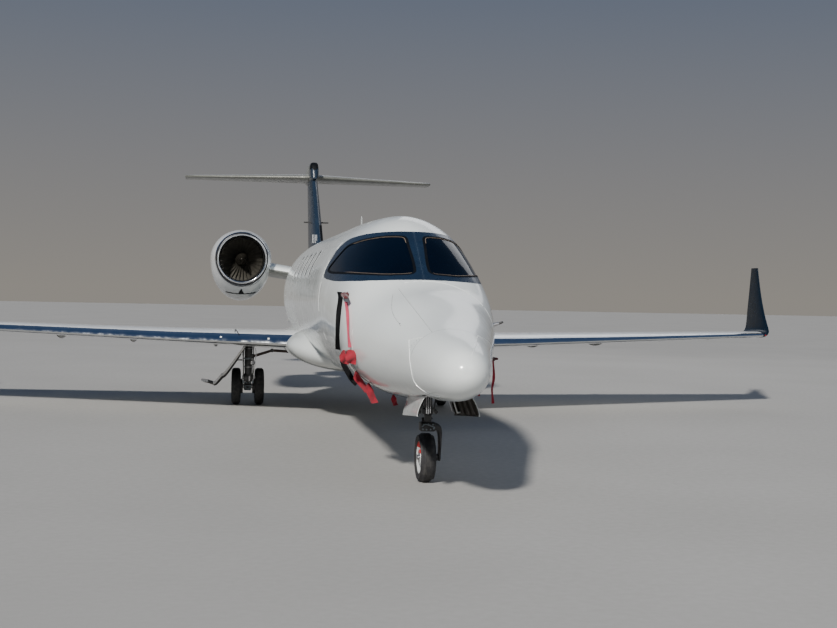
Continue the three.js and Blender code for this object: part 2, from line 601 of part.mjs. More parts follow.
function buildTail () {
  const tail = fuselage(12500, TAIL_END, -SEAT)
  const capEnds = [CAP[0][0], CAP.at(-1)[0]]
  const cap = solid(hull(CAP, ...capEnds))
  const capRoom = solid(hull(CAP, ...capEnds, -SEAT))
  const finPoint = z => {
    const [, lead, chord, ratio] = reading(FIN, z)
    return { at: V(0, lead + RUDDER.share * chord, z), nose: foilHalf(chord, ratio, RUDDER.share) }
  }
  const [low, high] = [finPoint(RUDDER.low), finPoint(RUDDER.high)]
  const whole = solid(finGeometry(FIN)).subtract(tail).subtract(capRoom)
  const split = splitAtHinge(whole, low.at, high.at, low.nose, high.nose)
  add('fin', shape(split.fixed), 'navy')
  add('rudder', shape(split.moving), 'navy')
  add('fin_cap', shape(cap), 'dark')

  const hingeAt = x => {
    const [, lead, z, chord, ratio] = reading(STABILIZER, x)
    return { at: V(x, lead + ELEVATOR.share * chord, z), nose: foilHalf(chord, ratio, ELEVATOR.share) }
  }
  const [inner, outer] = [hingeAt(ELEVATOR.from), hingeAt(ELEVATOR.to)]
  const half = panel(STABILIZER).subtract(capRoom)
    .intersect(block(1, 3000, 15000, 18000, 3500, 4500))
  const halves = splitAtHinge(half, inner.at, outer.at, inner.nose, outer.nose)
  addPair('stabilizer', shape(halves.fixed), 'white')
  addPair('elevator', shape(halves.moving), 'white')

  const lean = VENTRAL_ROOT.lean * Math.PI / 180
  const ventral = loft(VENTRAL.map(([out, lead, chord, ratio]) => foil(chord, ratio, 0).map(([c, h]) =>
    V(VENTRAL_ROOT.x + out * Math.cos(lean) + h * Math.sin(lean), lead + c,
      VENTRAL_ROOT.z - out * Math.sin(lean) + h * Math.cos(lean)))))
  addPair('ventral_fin', shape(solid(ventral).subtract(tail)), 'white')
}

// Engines: rows of distance aft of the lip, half width, top, bottom, middle, all about the engine's axis
const ENGINE = { x: 1515, station: 10820, z: 2255, long: 2700 }
const NACELLE = [
  [0, 390, 390, -390, 0], [60, 432, 430, -460, 0], [300, 474, 462, -580, 0], [800, 502, 490, -678, 0],
  [1500, 492, 482, -655, 0], [2100, 442, 432, -540, 0], [2700, 362, 360, -378, 0]
]
const DUCT = [
  [0, -10], [392, -10], [386, 0], [362, 40], [350, 110], [356, 300], [356, 700], [340, 1500],
  [330, 2100], [345, 2710], [0, 2710]
]
const FAN = { at: 400, tip: 346, root: 110, blades: 20, deep: 90 }
const CORE = [
  [0, 0], [150, 0], [250, 60], [262, 300], [262, 1100], [215, 1600], [120, 2050], [40, 2280], [0, 2290]
]
const CORE_AT = 560
const VANES = 6
const PYLON = [[420, 10950, 2005, 2450, 0.09], [1250, 11120, 2130, 2150, 0.115]]

function engineBody (inset) {
  const geometry = hull(NACELLE, 0, ENGINE.long, inset)
  return solid(geometry, new THREE.Matrix4().makeTranslation(0, LENGTH / 2, 0))
}

function buildEngines () {
  const centre = V(ENGINE.x, ENGINE.station, ENGINE.z)
  const duct = solid(turnedY(DUCT, ROUND.duct))
  addPair('nacelle', shape(engineBody(0).subtract(duct)), 'white', centre)

  const spinner = [[0, -300], [40, -270], [80, -190], [112, -60], [115, 0], [115, 90], [0, 90]]
  let fan = solid(turnedY(spinner, ROUND.hub))
  const rake = Math.PI / 5
  for (let i = 0; i < FAN.blades; i++) {
    const blade = new THREE.BoxGeometry(6, FAN.deep, FAN.tip - 60)
    blade.rotateZ(rake).translate(0, 40, (FAN.tip + 60) / 2 - 4).rotateY(2 * Math.PI * i / FAN.blades)
    fan = fan.add(solid(blade))
  }
  const shaft = solid(rodGeometry(new THREE.Vector3(0, 80, 0),
    new THREE.Vector3(0, CORE_AT - FAN.at - SEAT, 0), 60, 60, ROUND.hub))
  addPair('fan', shape(fan.add(shaft)), 'steel', centre.clone().add(new THREE.Vector3(0, FAN.at, 0)))

  let core = solid(turnedY(CORE, ROUND.hub))
  const room = solid(turnedY(DUCT.map(([r, s]) => [Math.max(r - SEAT, 0), s - CORE_AT]), ROUND.duct))
  for (let i = 0; i < VANES; i++) {
    const vane = new THREE.BoxGeometry(14, 160, 260)
    vane.translate(0, 200, 300).rotateY(2 * Math.PI * i / VANES)
    core = core.add(solid(vane).intersect(room))
  }
  addPair('engine_core', shape(core), 'steel', centre.clone().add(new THREE.Vector3(0, CORE_AT, 0)))

  const nacelleRoom = solid(shape(engineBody(-SEAT)), new THREE.Matrix4().setPosition(centre))
  const pylon = panel(PYLON).subtract(fuselage(10000, 14500, -SEAT)).subtract(nacelleRoom)
  addPair('pylon', shape(pylon), 'white')
}

// Nose gear: leg with drag brace, steered fork with one arm on the left of the wheel, wheel, and two doors
const NOSE_GEAR = { station: 1800, top: 1120, steer: 640, axle: 1900, radius: 228.5, width: 128 }
const FORK = {
  from: -50, inner: 110, outer: 145, crown: 500, axleEnd: 150, boss: 68, nut: -68,
  shaft: 20, bore: 20.8, hub: 60
}
const BRACE = { low: 930, station: 1290, drop: 25 }

function wheelGeometry (radius, width, bore, hubHalf, offsets = [0], shaft = 0) {
  const w = width / 2
  const rim = radius * 0.56
  const profile = [
    [bore, -hubHalf], [radius * 0.3, -hubHalf], [rim * 0.9, -w * 0.6], [rim, -w * 0.88],
    [radius * 0.78, -w], [radius * 0.95, -w * 0.75], [radius, -w * 0.35], [radius, w * 0.35],
    [radius * 0.95, w * 0.75], [radius * 0.78, w], [rim, w * 0.88], [rim * 0.9, w * 0.6],
    [radius * 0.3, hubHalf], [bore, hubHalf], [bore, -hubHalf]
  ]
  if (!shaft) return turnedX(profile, ROUND.wheel)
  const full = [[0, -hubHalf], ...profile.slice(1, -2), [0, hubHalf]]
  const [first, last] = offsets.map(offset => new THREE.Vector3(offset, 0, 0))
  let body = rod(first, last, shaft, shaft, ROUND.bore)
  for (const offset of offsets) body = body.add(solid(turnedX(full, ROUND.wheel).translate(offset, 0, 0)))
  return shape(body)
}

function buildNoseGear () {
  const { station, top, steer, axle, radius } = NOSE_GEAR
  const braceTop = x => V(x, BRACE.station, top - BRACE.drop)
  const leg = rod(V(0, station, steer), V(0, station, top - SEAT), 46)
    .add(rod(V(0, station, BRACE.low), braceTop(0), 18))
    .add(rod(V(0, station, steer), V(0, station, steer + 60), 58))
    .add(rod(braceTop(-20), braceTop(20), 24))
  const ceiling = block(-500, 500, 500, 2500, 0, top - SEAT)
  add('nose_gear_leg', shape(leg.intersect(ceiling)), 'grey')

  const end = x => V(x, axle, radius)
  const fork = rod(V(0, station, steer - SEAT), V(0, station, FORK.crown + 20), 40)
    .add(block(FORK.from, FORK.outer, station - 45, station + 62, FORK.crown - 20, FORK.crown + 35))
    .add(block(-22, 22, station + 20, station + 90, FORK.crown, FORK.crown + 100))
    .add(solid(forkArm()))
    .add(rod(end(FORK.nut - 10), end(FORK.axleEnd), FORK.shaft, FORK.shaft, ROUND.bore))
    .add(rod(end(FORK.nut - 10), end(FORK.nut), 32, 32, ROUND.hub))
    .add(rod(end(FORK.boss), end(FORK.inner + 2), 34, 34, ROUND.hub))
  add('nose_fork', shape(fork), 'grey')
  const wheel = wheelGeometry(radius, NOSE_GEAR.width, FORK.bore, FORK.hub)
  add('nose_wheel', wheel, 'tyre', { at: V(0, axle, radius) })

  buildNoseDoors()
}

// The fork's arm as seen from the side: from the crown down and back to the axle
function forkArm () {
  const { station, axle, radius } = NOSE_GEAR
  const { inner, outer, crown } = FORK
  const points = [[station - 45, crown + 34], [station + 60, crown + 34], [axle + 40, radius + 60],
    [axle + 34, radius - 30], [axle - 28, radius - 36], [axle - 48, radius + 30]]
  const outline = new THREE.Shape(points.map(([s, z]) => new THREE.Vector2(y(s), z)))
  const plate = new THREE.ExtrudeGeometry(outline, { depth: outer - inner, bevelEnabled: false })
  const basis = new THREE.Matrix4().makeBasis(
    new THREE.Vector3(0, 1, 0), new THREE.Vector3(0, 0, 1), new THREE.Vector3(1, 0, 0))
  return plate.applyMatrix4(basis.setPosition(inner, 0, 0))
}

const NOSE_DOOR = { from: 790, to: 1742, hinge: 192, edge: 14, thick: 16, open: 100, tube: 7, seat: 1.2 }

function buildNoseDoors () {
  const { from, to, hinge, edge, thick, open, tube, seat } = NOSE_DOOR
  const start = V(hinge, WELL.from + seat, underside(WELL.from, hinge) + tube)
  const end = V(hinge, to, underside(to, hinge) + tube)
  const leaf = fuselage(from, to).subtract(fuselage(from - 10, to + 10, thick))
    .intersect(block(edge, hinge, from, to, 0, 1150))
    .add(rod(start, end, tube, tube, ROUND.hub))
  const axis = end.clone().sub(start).normalize()
  const swing = new THREE.Matrix4().makeTranslation(start)
    .multiply(new THREE.Matrix4().makeRotationAxis(axis, -open * Math.PI / 180))
    .multiply(new THREE.Matrix4().makeTranslation(start.clone().negate()))
  addPair('nose_gear_door', shape(leaf).applyMatrix4(swing), 'white')
}

// Main gear: leg with trailing arm and side brace, twin wheels on one hub, leaf door linked to the leg
const MAIN_GEAR = {
  x: 1420, station: 9600, top: 990, pivot: 430, axle: 9850, radius: 279.5, width: 138, apart: 350
}
const HUB = { shaft: 35, bore: 35.8, boss: 66, bossHalf: 55 }
const LEG = { radius: 62, link: 690, braceX: 930, braceLow: 700, braceHigh: 838 }
const LEAF = [
  [1446, 935], [1735, 525], [1815, 455], [1870, 390], [1925, 338], [2020, 364], [2124, 380],
  [2122, 394], [2018, 378], [1930, 353], [1880, 401], [1826, 465], [1747, 533], [1462, 935]
]
const LEAF_FROM = 250
const LEAF_LONG = 620

function buildMainGear () {
  const { x, station, top, pivot, axle, radius, apart } = MAIN_GEAR
  const wing = panel(WING, SEAT)
  const belly = solid(hull(FAIRING, 6900, 11800, -SEAT))
  const brace = [V(x, station, LEG.braceLow), V(LEG.braceX, station - 40, LEG.braceHigh)]
  const end = dx => V(x + dx, axle, radius)
  const hub = (half, reach, sides) => rod(end(-half), end(half), reach, reach, sides)
  const leg = rod(V(x, station, pivot), V(x, station, top), LEG.radius)
    .add(rod(V(x - LEG.radius, station, pivot), V(x + LEG.radius, station, pivot), 58))
    .add(rod(V(x, station, pivot), V(x, axle, radius), 48))
    .add(rod(V(x, station + 60, 800), V(x, axle - 60, radius + 50), 26))
    .add(rod(V(x, station, 820), V(x, station + 64, 800), 24))
    .add(hub(HUB.bossHalf, HUB.boss, ROUND.bore))
    .add(rod(brace[0], brace[1], 24))
    .add(rod(V(LEG.braceX, station - 40, LEG.braceHigh - 10), V(LEG.braceX, station - 40, top), 30))
    .subtract(hub(200, HUB.bore, ROUND.bore)).subtract(wing).subtract(belly)
  addPair('main_gear_leg', shape(leg), 'grey')
  const wheels = wheelGeometry(radius, MAIN_GEAR.width, 0, 58, [-apart / 2, apart / 2], HUB.shaft)
  addPair('main_wheels', wheels, 'tyre', V(x, axle, radius))

  const outline = new THREE.Shape(LEAF.map(([px, pz]) => new THREE.Vector2(px, pz)))
  const plate = new THREE.ExtrudeGeometry(outline, { depth: LEAF_LONG, bevelEnabled: false })
  const basis = new THREE.Matrix4().makeBasis(
    new THREE.Vector3(1, 0, 0), new THREE.Vector3(0, 0, 1), new THREE.Vector3(0, -1, 0))
  const leaf = solid(plate, basis.setPosition(0, y(station + LEAF_FROM), 0))
    .subtract(rod(V(x, station, LEG.link), V(x, station, top), LEG.radius + 16))
    .add(rod(V(x + LEG.radius + SEAT, station, LEG.link), V(1628, station, LEG.link), 12))
  addPair('main_gear_door', shape(leaf.subtract(wing)), 'white')
}

// Covers on the air-data probes, each with its streamer, on both sides of the nose
const COVERS = {
  right: [[2490, 1720, 120], [2140, 1190, 100]],
  left: [[2400, 1130, 100], [2450, 950, 90]]
}

function buildCovers () {
  const skin = fuselage(1800, 2800, -SEAT)
  for (const [side, rows] of Object.entries(COVERS)) {
    const sign = side === 'left' ? 1 : -1
    let body = null
    for (const [station, z, long] of rows) {
      const x = sign * sideOf(station, z)
      const cover = rod(V(x * 0.96, station, z), V(x + sign * 55, station - 20, z - 5), 20)
        .add(rod(V(x + sign * 50, station + 10, z), V(x + sign * 60, station - long, z + 8), 19))
      body = body ? body.add(cover) : cover
    }
    const [[s0, z0], [s1, z1]] = rows
    const top = V(sign * (sideOf(s0, z0) + 45), s0, z0)
    const low = V(sign * (sideOf(s1, z1) + 45), s1, z1)
    body = body.add(rod(top, low, 9, 9, 8)).subtract(skin)
    add(`probe_covers_${side}`, shape(body), 'red')
  }
}

buildNose()
buildCockpit()
buildCabin()
buildDoor()
buildTailCone()
buildInside()
buildWing()
buildTail()
buildEngines()
buildNoseGear()
buildMainGear()
buildCovers()

export default group
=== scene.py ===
"""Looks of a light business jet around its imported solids. Metres, nose towards -Y, left wing towards +X."""

import math

import bpy
import numpy as np
from mathutils import Matrix, Vector


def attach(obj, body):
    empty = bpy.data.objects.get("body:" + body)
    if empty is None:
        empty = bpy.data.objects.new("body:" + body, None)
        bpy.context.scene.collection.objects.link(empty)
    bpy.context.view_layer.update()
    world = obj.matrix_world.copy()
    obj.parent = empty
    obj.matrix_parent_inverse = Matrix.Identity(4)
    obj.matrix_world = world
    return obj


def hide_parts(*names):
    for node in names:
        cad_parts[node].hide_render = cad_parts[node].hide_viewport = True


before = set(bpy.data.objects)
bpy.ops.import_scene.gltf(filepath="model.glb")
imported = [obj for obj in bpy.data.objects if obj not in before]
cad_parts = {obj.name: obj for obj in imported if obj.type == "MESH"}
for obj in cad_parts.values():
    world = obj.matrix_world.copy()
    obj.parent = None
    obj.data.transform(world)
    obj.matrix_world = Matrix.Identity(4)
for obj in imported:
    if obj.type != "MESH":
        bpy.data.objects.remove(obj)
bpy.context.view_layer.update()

LENGTH = 17.68
HALF = LENGTH / 2


def add_object(name, data):
    """A new object of the scene that shows the data."""
    made = bpy.data.objects.new(name, data)
    bpy.context.scene.collection.objects.link(made)
    return made


def place(x, station, z):
    """A point from its distance left of the centreline, its distance aft of the nose tip and its height."""
    return Vector((x, station - HALF, z))


# Camera, light and floor

CAMERA = {"at": (-1.999, -9.731, 1.762), "yaw": 9.32, "pitch": -0.96, "roll": 1.17, "lens": 54.5}


def make_camera():
    yaw, pitch, roll = (math.radians(CAMERA[k]) for k in ("yaw", "pitch", "roll"))
    ahead = Vector((math.sin(yaw) * math.cos(pitch), math.cos(yaw) * math.cos(pitch), math.sin(pitch)))
    right = Vector((math.cos(yaw), -math.sin(yaw), 0))
    up = right.cross(ahead)
    right, up = (math.cos(roll) * right + math.sin(roll) * up, math.cos(roll) * up - math.sin(roll) * right)
    data = bpy.data.cameras.new("camera")
    data.lens = CAMERA["lens"]
    data.sensor_width = 36
    data.sensor_fit = "HORIZONTAL"
    data.clip_end = 200
    camera = add_object("camera", data)
    turn = Matrix((right, up, -ahead)).transposed().to_4x4()
    camera.matrix_world = Matrix.Translation(place(*CAMERA["at"])) @ turn
    bpy.context.scene.camera = camera


SUN = {"power": 5.2, "spread": 4, "color": (1, 0.965, 0.91), "towards": (0.72, 1.5, -1.15)}

# Name: place, target, size and power
SOFT_LIGHTS = {"key": ((7, -19, 9), (0, -3, 1), (10, 8), 350), "back": ((9, 17, 12), (0, 3, 2), (14, 8), 400)}

# The sky's colours from the ground up, with their places on the ramp
SKY = {0: (0.46, 0.43, 0.385, 1), 1: (0.045, 0.10, 0.23, 1), 0.3: (0.14, 0.20, 0.32, 1)}


def area_light(name, at, towards, size, power):
    data = bpy.data.lights.new(name, "AREA")
    data.shape = "RECTANGLE"
    data.size, data.size_y = size
    data.energy = power
    light = add_object(name, data)
    light.location = at
    light.rotation_euler = (Vector(towards) - Vector(at)).to_track_quat("-Z", "Y").to_euler()


def make_studio():
    sun = bpy.data.lights.new("sun", "SUN")
    sun.energy = SUN["power"]
    sun.angle = math.radians(SUN["spread"])
    sun.color = SUN["color"]
    add_object("sun", sun).rotation_euler = Vector(SUN["towards"]).to_track_quat("-Z", "Y").to_euler()
    for name, row in SOFT_LIGHTS.items():
        area_light(name, *row)
    world = bpy.data.worlds.new("studio")
    bpy.context.scene.world = world
    world.use_nodes = True
    tree = world.node_tree
    back = tree.nodes["Background"]
    back.inputs["Strength"].default_value = 0.6
    sky = tree.nodes.new("ShaderNodeTexGradient")
    coords = tree.nodes.new("ShaderNodeTexCoord")
    turn = tree.nodes.new("ShaderNodeMapping")
    turn.inputs["Rotation"].default_value = (0, math.radians(90), 0)
    ramp = tree.nodes.new("ShaderNodeValToRGB")
    elements = ramp.color_ramp.elements
    for at, color in SKY.items():
        element = elements[at] if at in (0, 1) else elements.new(at)
        element.color = color
    tree.links.new(coords.outputs["Generated"], turn.inputs["Vector"])
    tree.links.new(turn.outputs["Vector"], sky.inputs["Vector"])
    tree.links.new(sky.outputs["Color"], ramp.inputs["Fac"])
    tree.links.new(ramp.outputs["Color"], back.inputs["Color"])


def make_floor():
    size = 120
    corners = [(-size, -size, 0), (size, -size, 0), (size, size, 0), (-size, size, 0)]
    floor = mesh_object("floor", corners, [(0, 1, 2, 3)], "floor")
    floor.location.z = -0.0005


# Materials: each is one principled shader with noise in its colour and roughness, and bump

class Look:
    """A material under construction: its node tree with short calls for the nodes that it needs."""

    def __init__(self, name, color, rough, metal=0.0, coat=0.0, **sockets):
        self.material = bpy.data.materials.new(name)
        self.material.use_nodes = True
        self.tree = self.material.node_tree
        self.shader = self.tree.nodes["Principled BSDF"]
        self.color = (*color, 1)
        self.shader.inputs["Base Color"].default_value = self.color
        self.shader.inputs["Roughness"].default_value = rough
        self.shader.inputs["Metallic"].default_value = metal
        self.shader.inputs["Coat Weight"].default_value = coat
        for key, value in sockets.items():
            self.shader.inputs[key.replace("_", " ")].default_value = value
        self.coords = self.tree.nodes.new("ShaderNodeTexCoord").outputs["Object"]

    def node(self, kind, settings=(), **inputs):
        made = self.tree.nodes.new("ShaderNode" + kind)
        for key, value in dict(settings).items():
            setattr(made, key, value)
        for key, value in inputs.items():
            socket = made.inputs[int(key[1:])] if key[0] == "i" and key[1:].isdigit() else made.inputs[key]
            if isinstance(value, bpy.types.NodeSocket):
                self.tree.links.new(value, socket)
            else:
                socket.default_value = value
        return made.outputs[0]

    def math(self, operation, a, b=0.0, clamp=False):
        return self.node("Math", settings={"operation": operation, "use_clamp": clamp}, i0=a, i1=b)

    def noise(self, scale, detail=4.0, stretch=(1, 1, 1)):
        moved = self.node("Mapping", Vector=self.coords, Scale=stretch)
        return self.node("TexNoise", Vector=moved, Scale=scale, Detail=detail)

    def range(self, value, low, high, to_low, to_high):
        return self.node("MapRange", i0=value, i1=low, i2=high, i3=to_low, i4=to_high)

    def mix(self, share, a, b):
        made = self.tree.nodes.new("ShaderNodeMix")
        made.data_type = "RGBA"
        for socket, value in zip((made.inputs[0], made.inputs[6], made.inputs[7]), (share, a, b)):
            if isinstance(value, bpy.types.NodeSocket):
                self.tree.links.new(value, socket)
            else:
                socket.default_value = (*value, 1) if hasattr(value, "__len__") and len(value) == 3 else value
        return made.outputs[2]

    def paint(self, source):
        self.tree.links.new(source, self.shader.inputs["Base Color"])

    def rough(self, source):
        self.tree.links.new(source, self.shader.inputs["Roughness"])

    def bump(self, height, distance, strength=1.0):
        chained = self.shader.inputs["Normal"].links
        made = self.tree.nodes.new("ShaderNodeBump")
        made.inputs["Strength"].default_value = strength
        made.inputs["Distance"].default_value = distance
        self.tree.links.new(height, made.inputs["Height"])
        if chained:
            self.tree.links.new(chained[0].from_socket, made.inputs["Normal"])
        self.tree.links.new(made.outputs["Normal"], self.shader.inputs["Normal"])

    def mottle(self, scale, amount, rough_low, rough_high, stretch=(1, 1, 1)):
        """Slight cloudy change of colour and roughness."""
        cloud = self.noise(scale, 5, stretch)
        dark = [c * (1 - amount) for c in self.color[:3]]
        self.paint(self.mix(self.range(cloud, 0.35, 0.65, 0, 1), dark, self.color[:3]))
        fine = self.noise(scale * 3.3, 3, stretch)
        self.rough(self.range(fine, 0.3, 0.7, rough_low, rough_high))
        return cloud

    def lines(self, value, places, width):
        """1 on thin lines where the value is at one of the places, else 0."""
        total = None
        for p in places:
            off = self.math("ABSOLUTE", self.math("SUBTRACT", value, p))
            line = self.math("SUBTRACT", 1.0, self.math("DIVIDE", off, width), clamp=True)
            total = line if total is None else self.math("MAXIMUM", total, line)
        return total


def skin_look(name, color, seams_y=(), seams_girth=(), axis=1.67, radius=0.87, dirt=0.25,
              shade=(0.8, 1.35, 0.0)):
    """Gloss paint on riveted skin, with seams, faint streaks below and painted shade: a grey share between
    two heights that darkens the skin towards the bottom.
    """
    look = Look(name, color, 0.22, coat=0.55, Coat_Roughness=0.08)
    split = look.node("SeparateXYZ", Vector=look.coords).node
    x, y, z = (split.outputs[i] for i in range(3))
    girth = look.math("MULTIPLY", look.math("ARCTAN2", look.math("SUBTRACT", z, axis), x), radius)
    cloud = look.noise(1.1, 5, (1, 0.35, 1))
    low = look.range(z, 0.7, 1.5, 1, 0)
    streak = look.noise(7, 4, (1, 0.08, 1))
    soil = look.math("MULTIPLY", look.math("MULTIPLY", low, look.range(streak, 0.45, 0.7, 0, 1)), dirt)
    clean = look.mix(look.range(cloud, 0.35, 0.65, 0, 1), [c * 0.965 for c in color], color)
    # Painted shade: below the first height in shade the colour takes the share of grey given last, fading to
    # none at the second height
    grey = look.range(z, *shade, 0)
    tint = look.mix(grey, look.mix(soil, clean, [c * 0.62 for c in color]), (0.26, 0.275, 0.27))
    seams = []
    if seams_y:
        seams.append(look.lines(y, [s - HALF for s in seams_y], 0.0035))
    if seams_girth:
        seams.append(look.lines(girth, seams_girth, 0.0035))
    if seams:
        seam = seams[0] if len(seams) == 1 else look.math("MAXIMUM", *seams)
        tint = look.mix(look.math("MULTIPLY", seam, 0.45), tint, [c * 0.35 for c in color])
        look.bump(look.math("SUBTRACT", 1.0, seam), 0.0015, 0.8)
    look.paint(tint)
    look.rough(look.range(look.noise(9, 3), 0.3, 0.7, 0.16, 0.27))
    look.bump(look.noise(2.2, 2, (1, 0.5, 1)), 0.004, 0.35)
    look.bump(look.noise(420, 1), 0.00012, 0.5)
    return look.material


def plain_look(name, color, rough, metal=0.0, coat=0.0, scale=6.0, amount=0.12, grain=0.0002, grain_scale=300,
               stretch=(1, 1, 1), **sockets):
    look = Look(name, color, rough, metal, coat, **sockets)
    look.mottle(scale, amount, max(rough - 0.08, 0.02), min(rough + 0.1, 1), stretch)
    look.bump(look.noise(grain_scale, 2, stretch), grain, 0.6)
    return look.material


def floor_look():
    look = Look("floor_pale", (0.42, 0.415, 0.40), 0.72)
    cloud = look.noise(0.35, 6)
    fine = look.noise(14, 6)
    shade = look.mix(look.range(cloud, 0.3, 0.7, 0, 1), (0.35, 0.345, 0.33), (0.385, 0.38, 0.365))
    look.paint(look.mix(look.range(fine, 0.35, 0.65, 0, 0.25), shade, (0.31, 0.305, 0.29)))
    look.rough(look.range(fine, 0.3, 0.7, 0.6, 0.8))
    look.bump(look.noise(60, 4), 0.002, 0.3)
    return look.material


def cloth_look(name, color):
    look = Look(name, color, 0.85, Sheen_Weight=0.3)
    look.mottle(9, 0.25, 0.75, 0.95)
    weave = look.node("TexWave", Vector=look.coords, Scale=260.0)
    cross = look.node("TexWave", settings={"bands_direction": "Z"}, Vector=look.coords, Scale=260.0)
    look.bump(look.math("MULTIPLY", weave, cross), 0.0006, 0.6)
    return look.material


def leather_look():
    look = Look("tan_leather", (0.42, 0.33, 0.23), 0.5, coat=0.1)
    look.mottle(5, 0.18, 0.42, 0.6)
    cells = look.node("TexVoronoi", Vector=look.coords, Scale=160.0)
    look.bump(cells, 0.0012, 0.5)
    return look.material


def brushed_look(name, color, rough, stretch=(1, 1, 1)):
    return plain_look(name, color, rough, metal=1.0, scale=3, amount=0.1, grain=0.0002, grain_scale=90,
                      stretch=stretch)


def tyre_look():
    look = Look("tyre_rubber", (0.022, 0.022, 0.024), 0.8)
    look.mottle(7, 0.35, 0.65, 0.9)
    dust = look.noise(16, 5)
    look.paint(look.mix(look.range(dust, 0.5, 0.75, 0, 0.35), (0.02, 0.02, 0.022), (0.10, 0.095, 0.085)))
    look.bump(look.noise(240, 3), 0.0006, 0.5)
    return look.material


WHITE = (0.78, 0.82, 0.81)

PALE = (0.80, 0.82, 0.83)

# Look: material, colour, roughness, metal, coat, scale and amount of the mottle, then other values by name
PLAIN_LOOKS = {
    "navy": ("navy_paint", (0.013, 0.025, 0.045), 0.3, 0, 0.15, 2, 0.2, {"grain": 0.0001}),
    "tip": ("tip_paint", (0.004, 0.011, 0.022), 0.3, 0, 0.05, 2, 0.2,
            {"grain": 0.0001, "Specular_IOR_Level": 0.2}),
    "mask": ("mask_paint", (0.008, 0.019, 0.040), 0.3, 0, 0.15, 5, 0.2, {"grain": 0.0001}),
    "under": ("shade_grey", (0.20, 0.205, 0.19), 0.35, 0, 0.2, 3, 0.15),
    # bright: whiter than the paint; on the raised nose lines it is painted highlight
    "bright": ("bright_edge", (0.92, 0.95, 0.94), 0.3, 0, 0.3, 9, 0.05),
    "grey": ("light_grey", (0.5, 0.52, 0.53), 0.35, 0, 0.2, 3, 0.1),
    "seam": ("seam_grey", (0.34, 0.36, 0.37), 0.4, 0, 0, 30, 0.2),
    "seal": ("screen_seal", (0.24, 0.185, 0.14), 0.45, 0, 0, 20, 0.3),
    "post": ("post_trim", (0.05, 0.075, 0.11), 0.4, 0, 0, 20, 0.3),
    "jet": ("jet_black", (0.003, 0.004, 0.006), 0.6, 0, 0, 8, 0.3, {"Specular_IOR_Level": 0.15}),
    "edge": ("edge_metal", (0.24, 0.245, 0.22), 0.4, 0.4, 0, 6, 0.2),
    "spinner": ("spinner_metal", (0.06, 0.055, 0.045), 0.3, 0.7, 0, 9, 0.3),
    # blade: fan blades near black: painted shade inside the intake
    "blade": ("blade_painted_shade", (0.075, 0.07, 0.058), 0.5, 0.2, 0, 9, 0.2),
    "band": ("lip_shadow", (0.02, 0.02, 0.022), 0.35, 0.6, 0, 9, 0.3),
    # duct: near-black painted shade on the nacelle's inner wall
    "duct": ("duct_painted_shade", (0.012, 0.012, 0.012), 0.6, 0, 0, 6, 0.3),
    "hot": ("hot_metal", (0.22, 0.2, 0.185), 0.4, 0.9, 0, 5, 0.4),
    "gear": ("gear_enamel", (0.55, 0.57, 0.57), 0.35, 0, 0.25, 8, 0.25),
    # dark_gear: near-black metal; on the legs, fork and links of the gear it is painted shade
    "dark_gear": ("dark_metal_painted_shade", (0.07, 0.07, 0.072), 0.5, 0.4, 0, 10, 0.5),
    "maroon_metal": ("brace_paint", (0.05, 0.03, 0.026), 0.45, 0.3, 0, 12, 0.4),
    "alloy": ("brake_alloy", (0.24, 0.28, 0.31), 0.4, 0.5, 0, 25, 0.45),
    # inside: near-black painted shade on the doors' inner faces and ribs
    "inside": ("door_inside_painted_shade", (0.035, 0.030, 0.024), 0.6, 0, 0, 12, 0.4),
    # dark: near-black painted shade in the nose wheel well and the tail vent's opening
    "dark": ("cavity_painted_shade", (0.02, 0.02, 0.022), 0.7, 0, 0, 5, 0.4),
    "hose": ("hose_rubber", (0.02, 0.02, 0.022), 0.6, 0, 0, 20, 0.3),
    "boot": ("wick_black", (0.02, 0.02, 0.02), 0.5, 0, 0, 30, 0.3),
    "red_paint": ("red_enamel", (0.45, 0.02, 0.02), 0.35, 0, 0, 8, 0.2),
    "red_lens": ("red_lens", (0.5, 0.01, 0.01), 0.08, 0, 1, 20, 0.1),
    "green_lens": ("green_lens", (0.01, 0.3, 0.12), 0.08, 0, 1, 20, 0.1),
    "lens": ("clear_lens", (0.75, 0.78, 0.8), 0.05, 0, 1, 20, 0.1, {"Transmission_Weight": 0.6}),
    "strap": ("black_strap", (0.004, 0.004, 0.005), 0.7, 0, 0, 60, 0.4,
              {"grain": 0.0004, "Specular_IOR_Level": 0.12}),
    "lining": ("cabin_lining", (0.16, 0.145, 0.125), 0.8, 0, 0, 3, 0.15),
    "panel": ("panel_plastic", (0.02, 0.021, 0.023), 0.5, 0, 0, 9, 0.3),
    "window": ("window_glass", (0.003, 0.004, 0.006), 0.35, 0, 0, 3, 0.3,
               {"Alpha": 0.84, "Specular_IOR_Level": 0.04}),
}

BRUSHED_LOOKS = {"polished": ("polished_metal", (0.70, 0.72, 0.74), 0.12, (1, 0.2, 1)),
                 "steel": ("satin_steel", (0.5, 0.5, 0.51), 0.32),
                 "chrome": ("piston_chrome", (0.8, 0.8, 0.82), 0.08),
                 "titanium": ("fan_metal", (0.42, 0.43, 0.46), 0.28)}


CLOTH_LOOKS = {"red": ("red_cloth", (0.30, 0.002, 0.018)), "maroon": ("maroon_cloth", (0.10, 0.006, 0.010)),
               "pink": ("pink_cloth", (0.50, 0.05, 0.10)), "carpet": ("carpet", (0.16, 0.14, 0.12))}


# Stations of the seams round the body, and their distances round the section from its widest line
HOOP_SEAMS = (3.85, 5.15, 6.73, 8.13, 9.65, 10.4, 11.6, 12.8, 14.1, 15.3)

LONG_SEAMS = (0.62, 2.11, -0.45, 3.19)
looks = {}


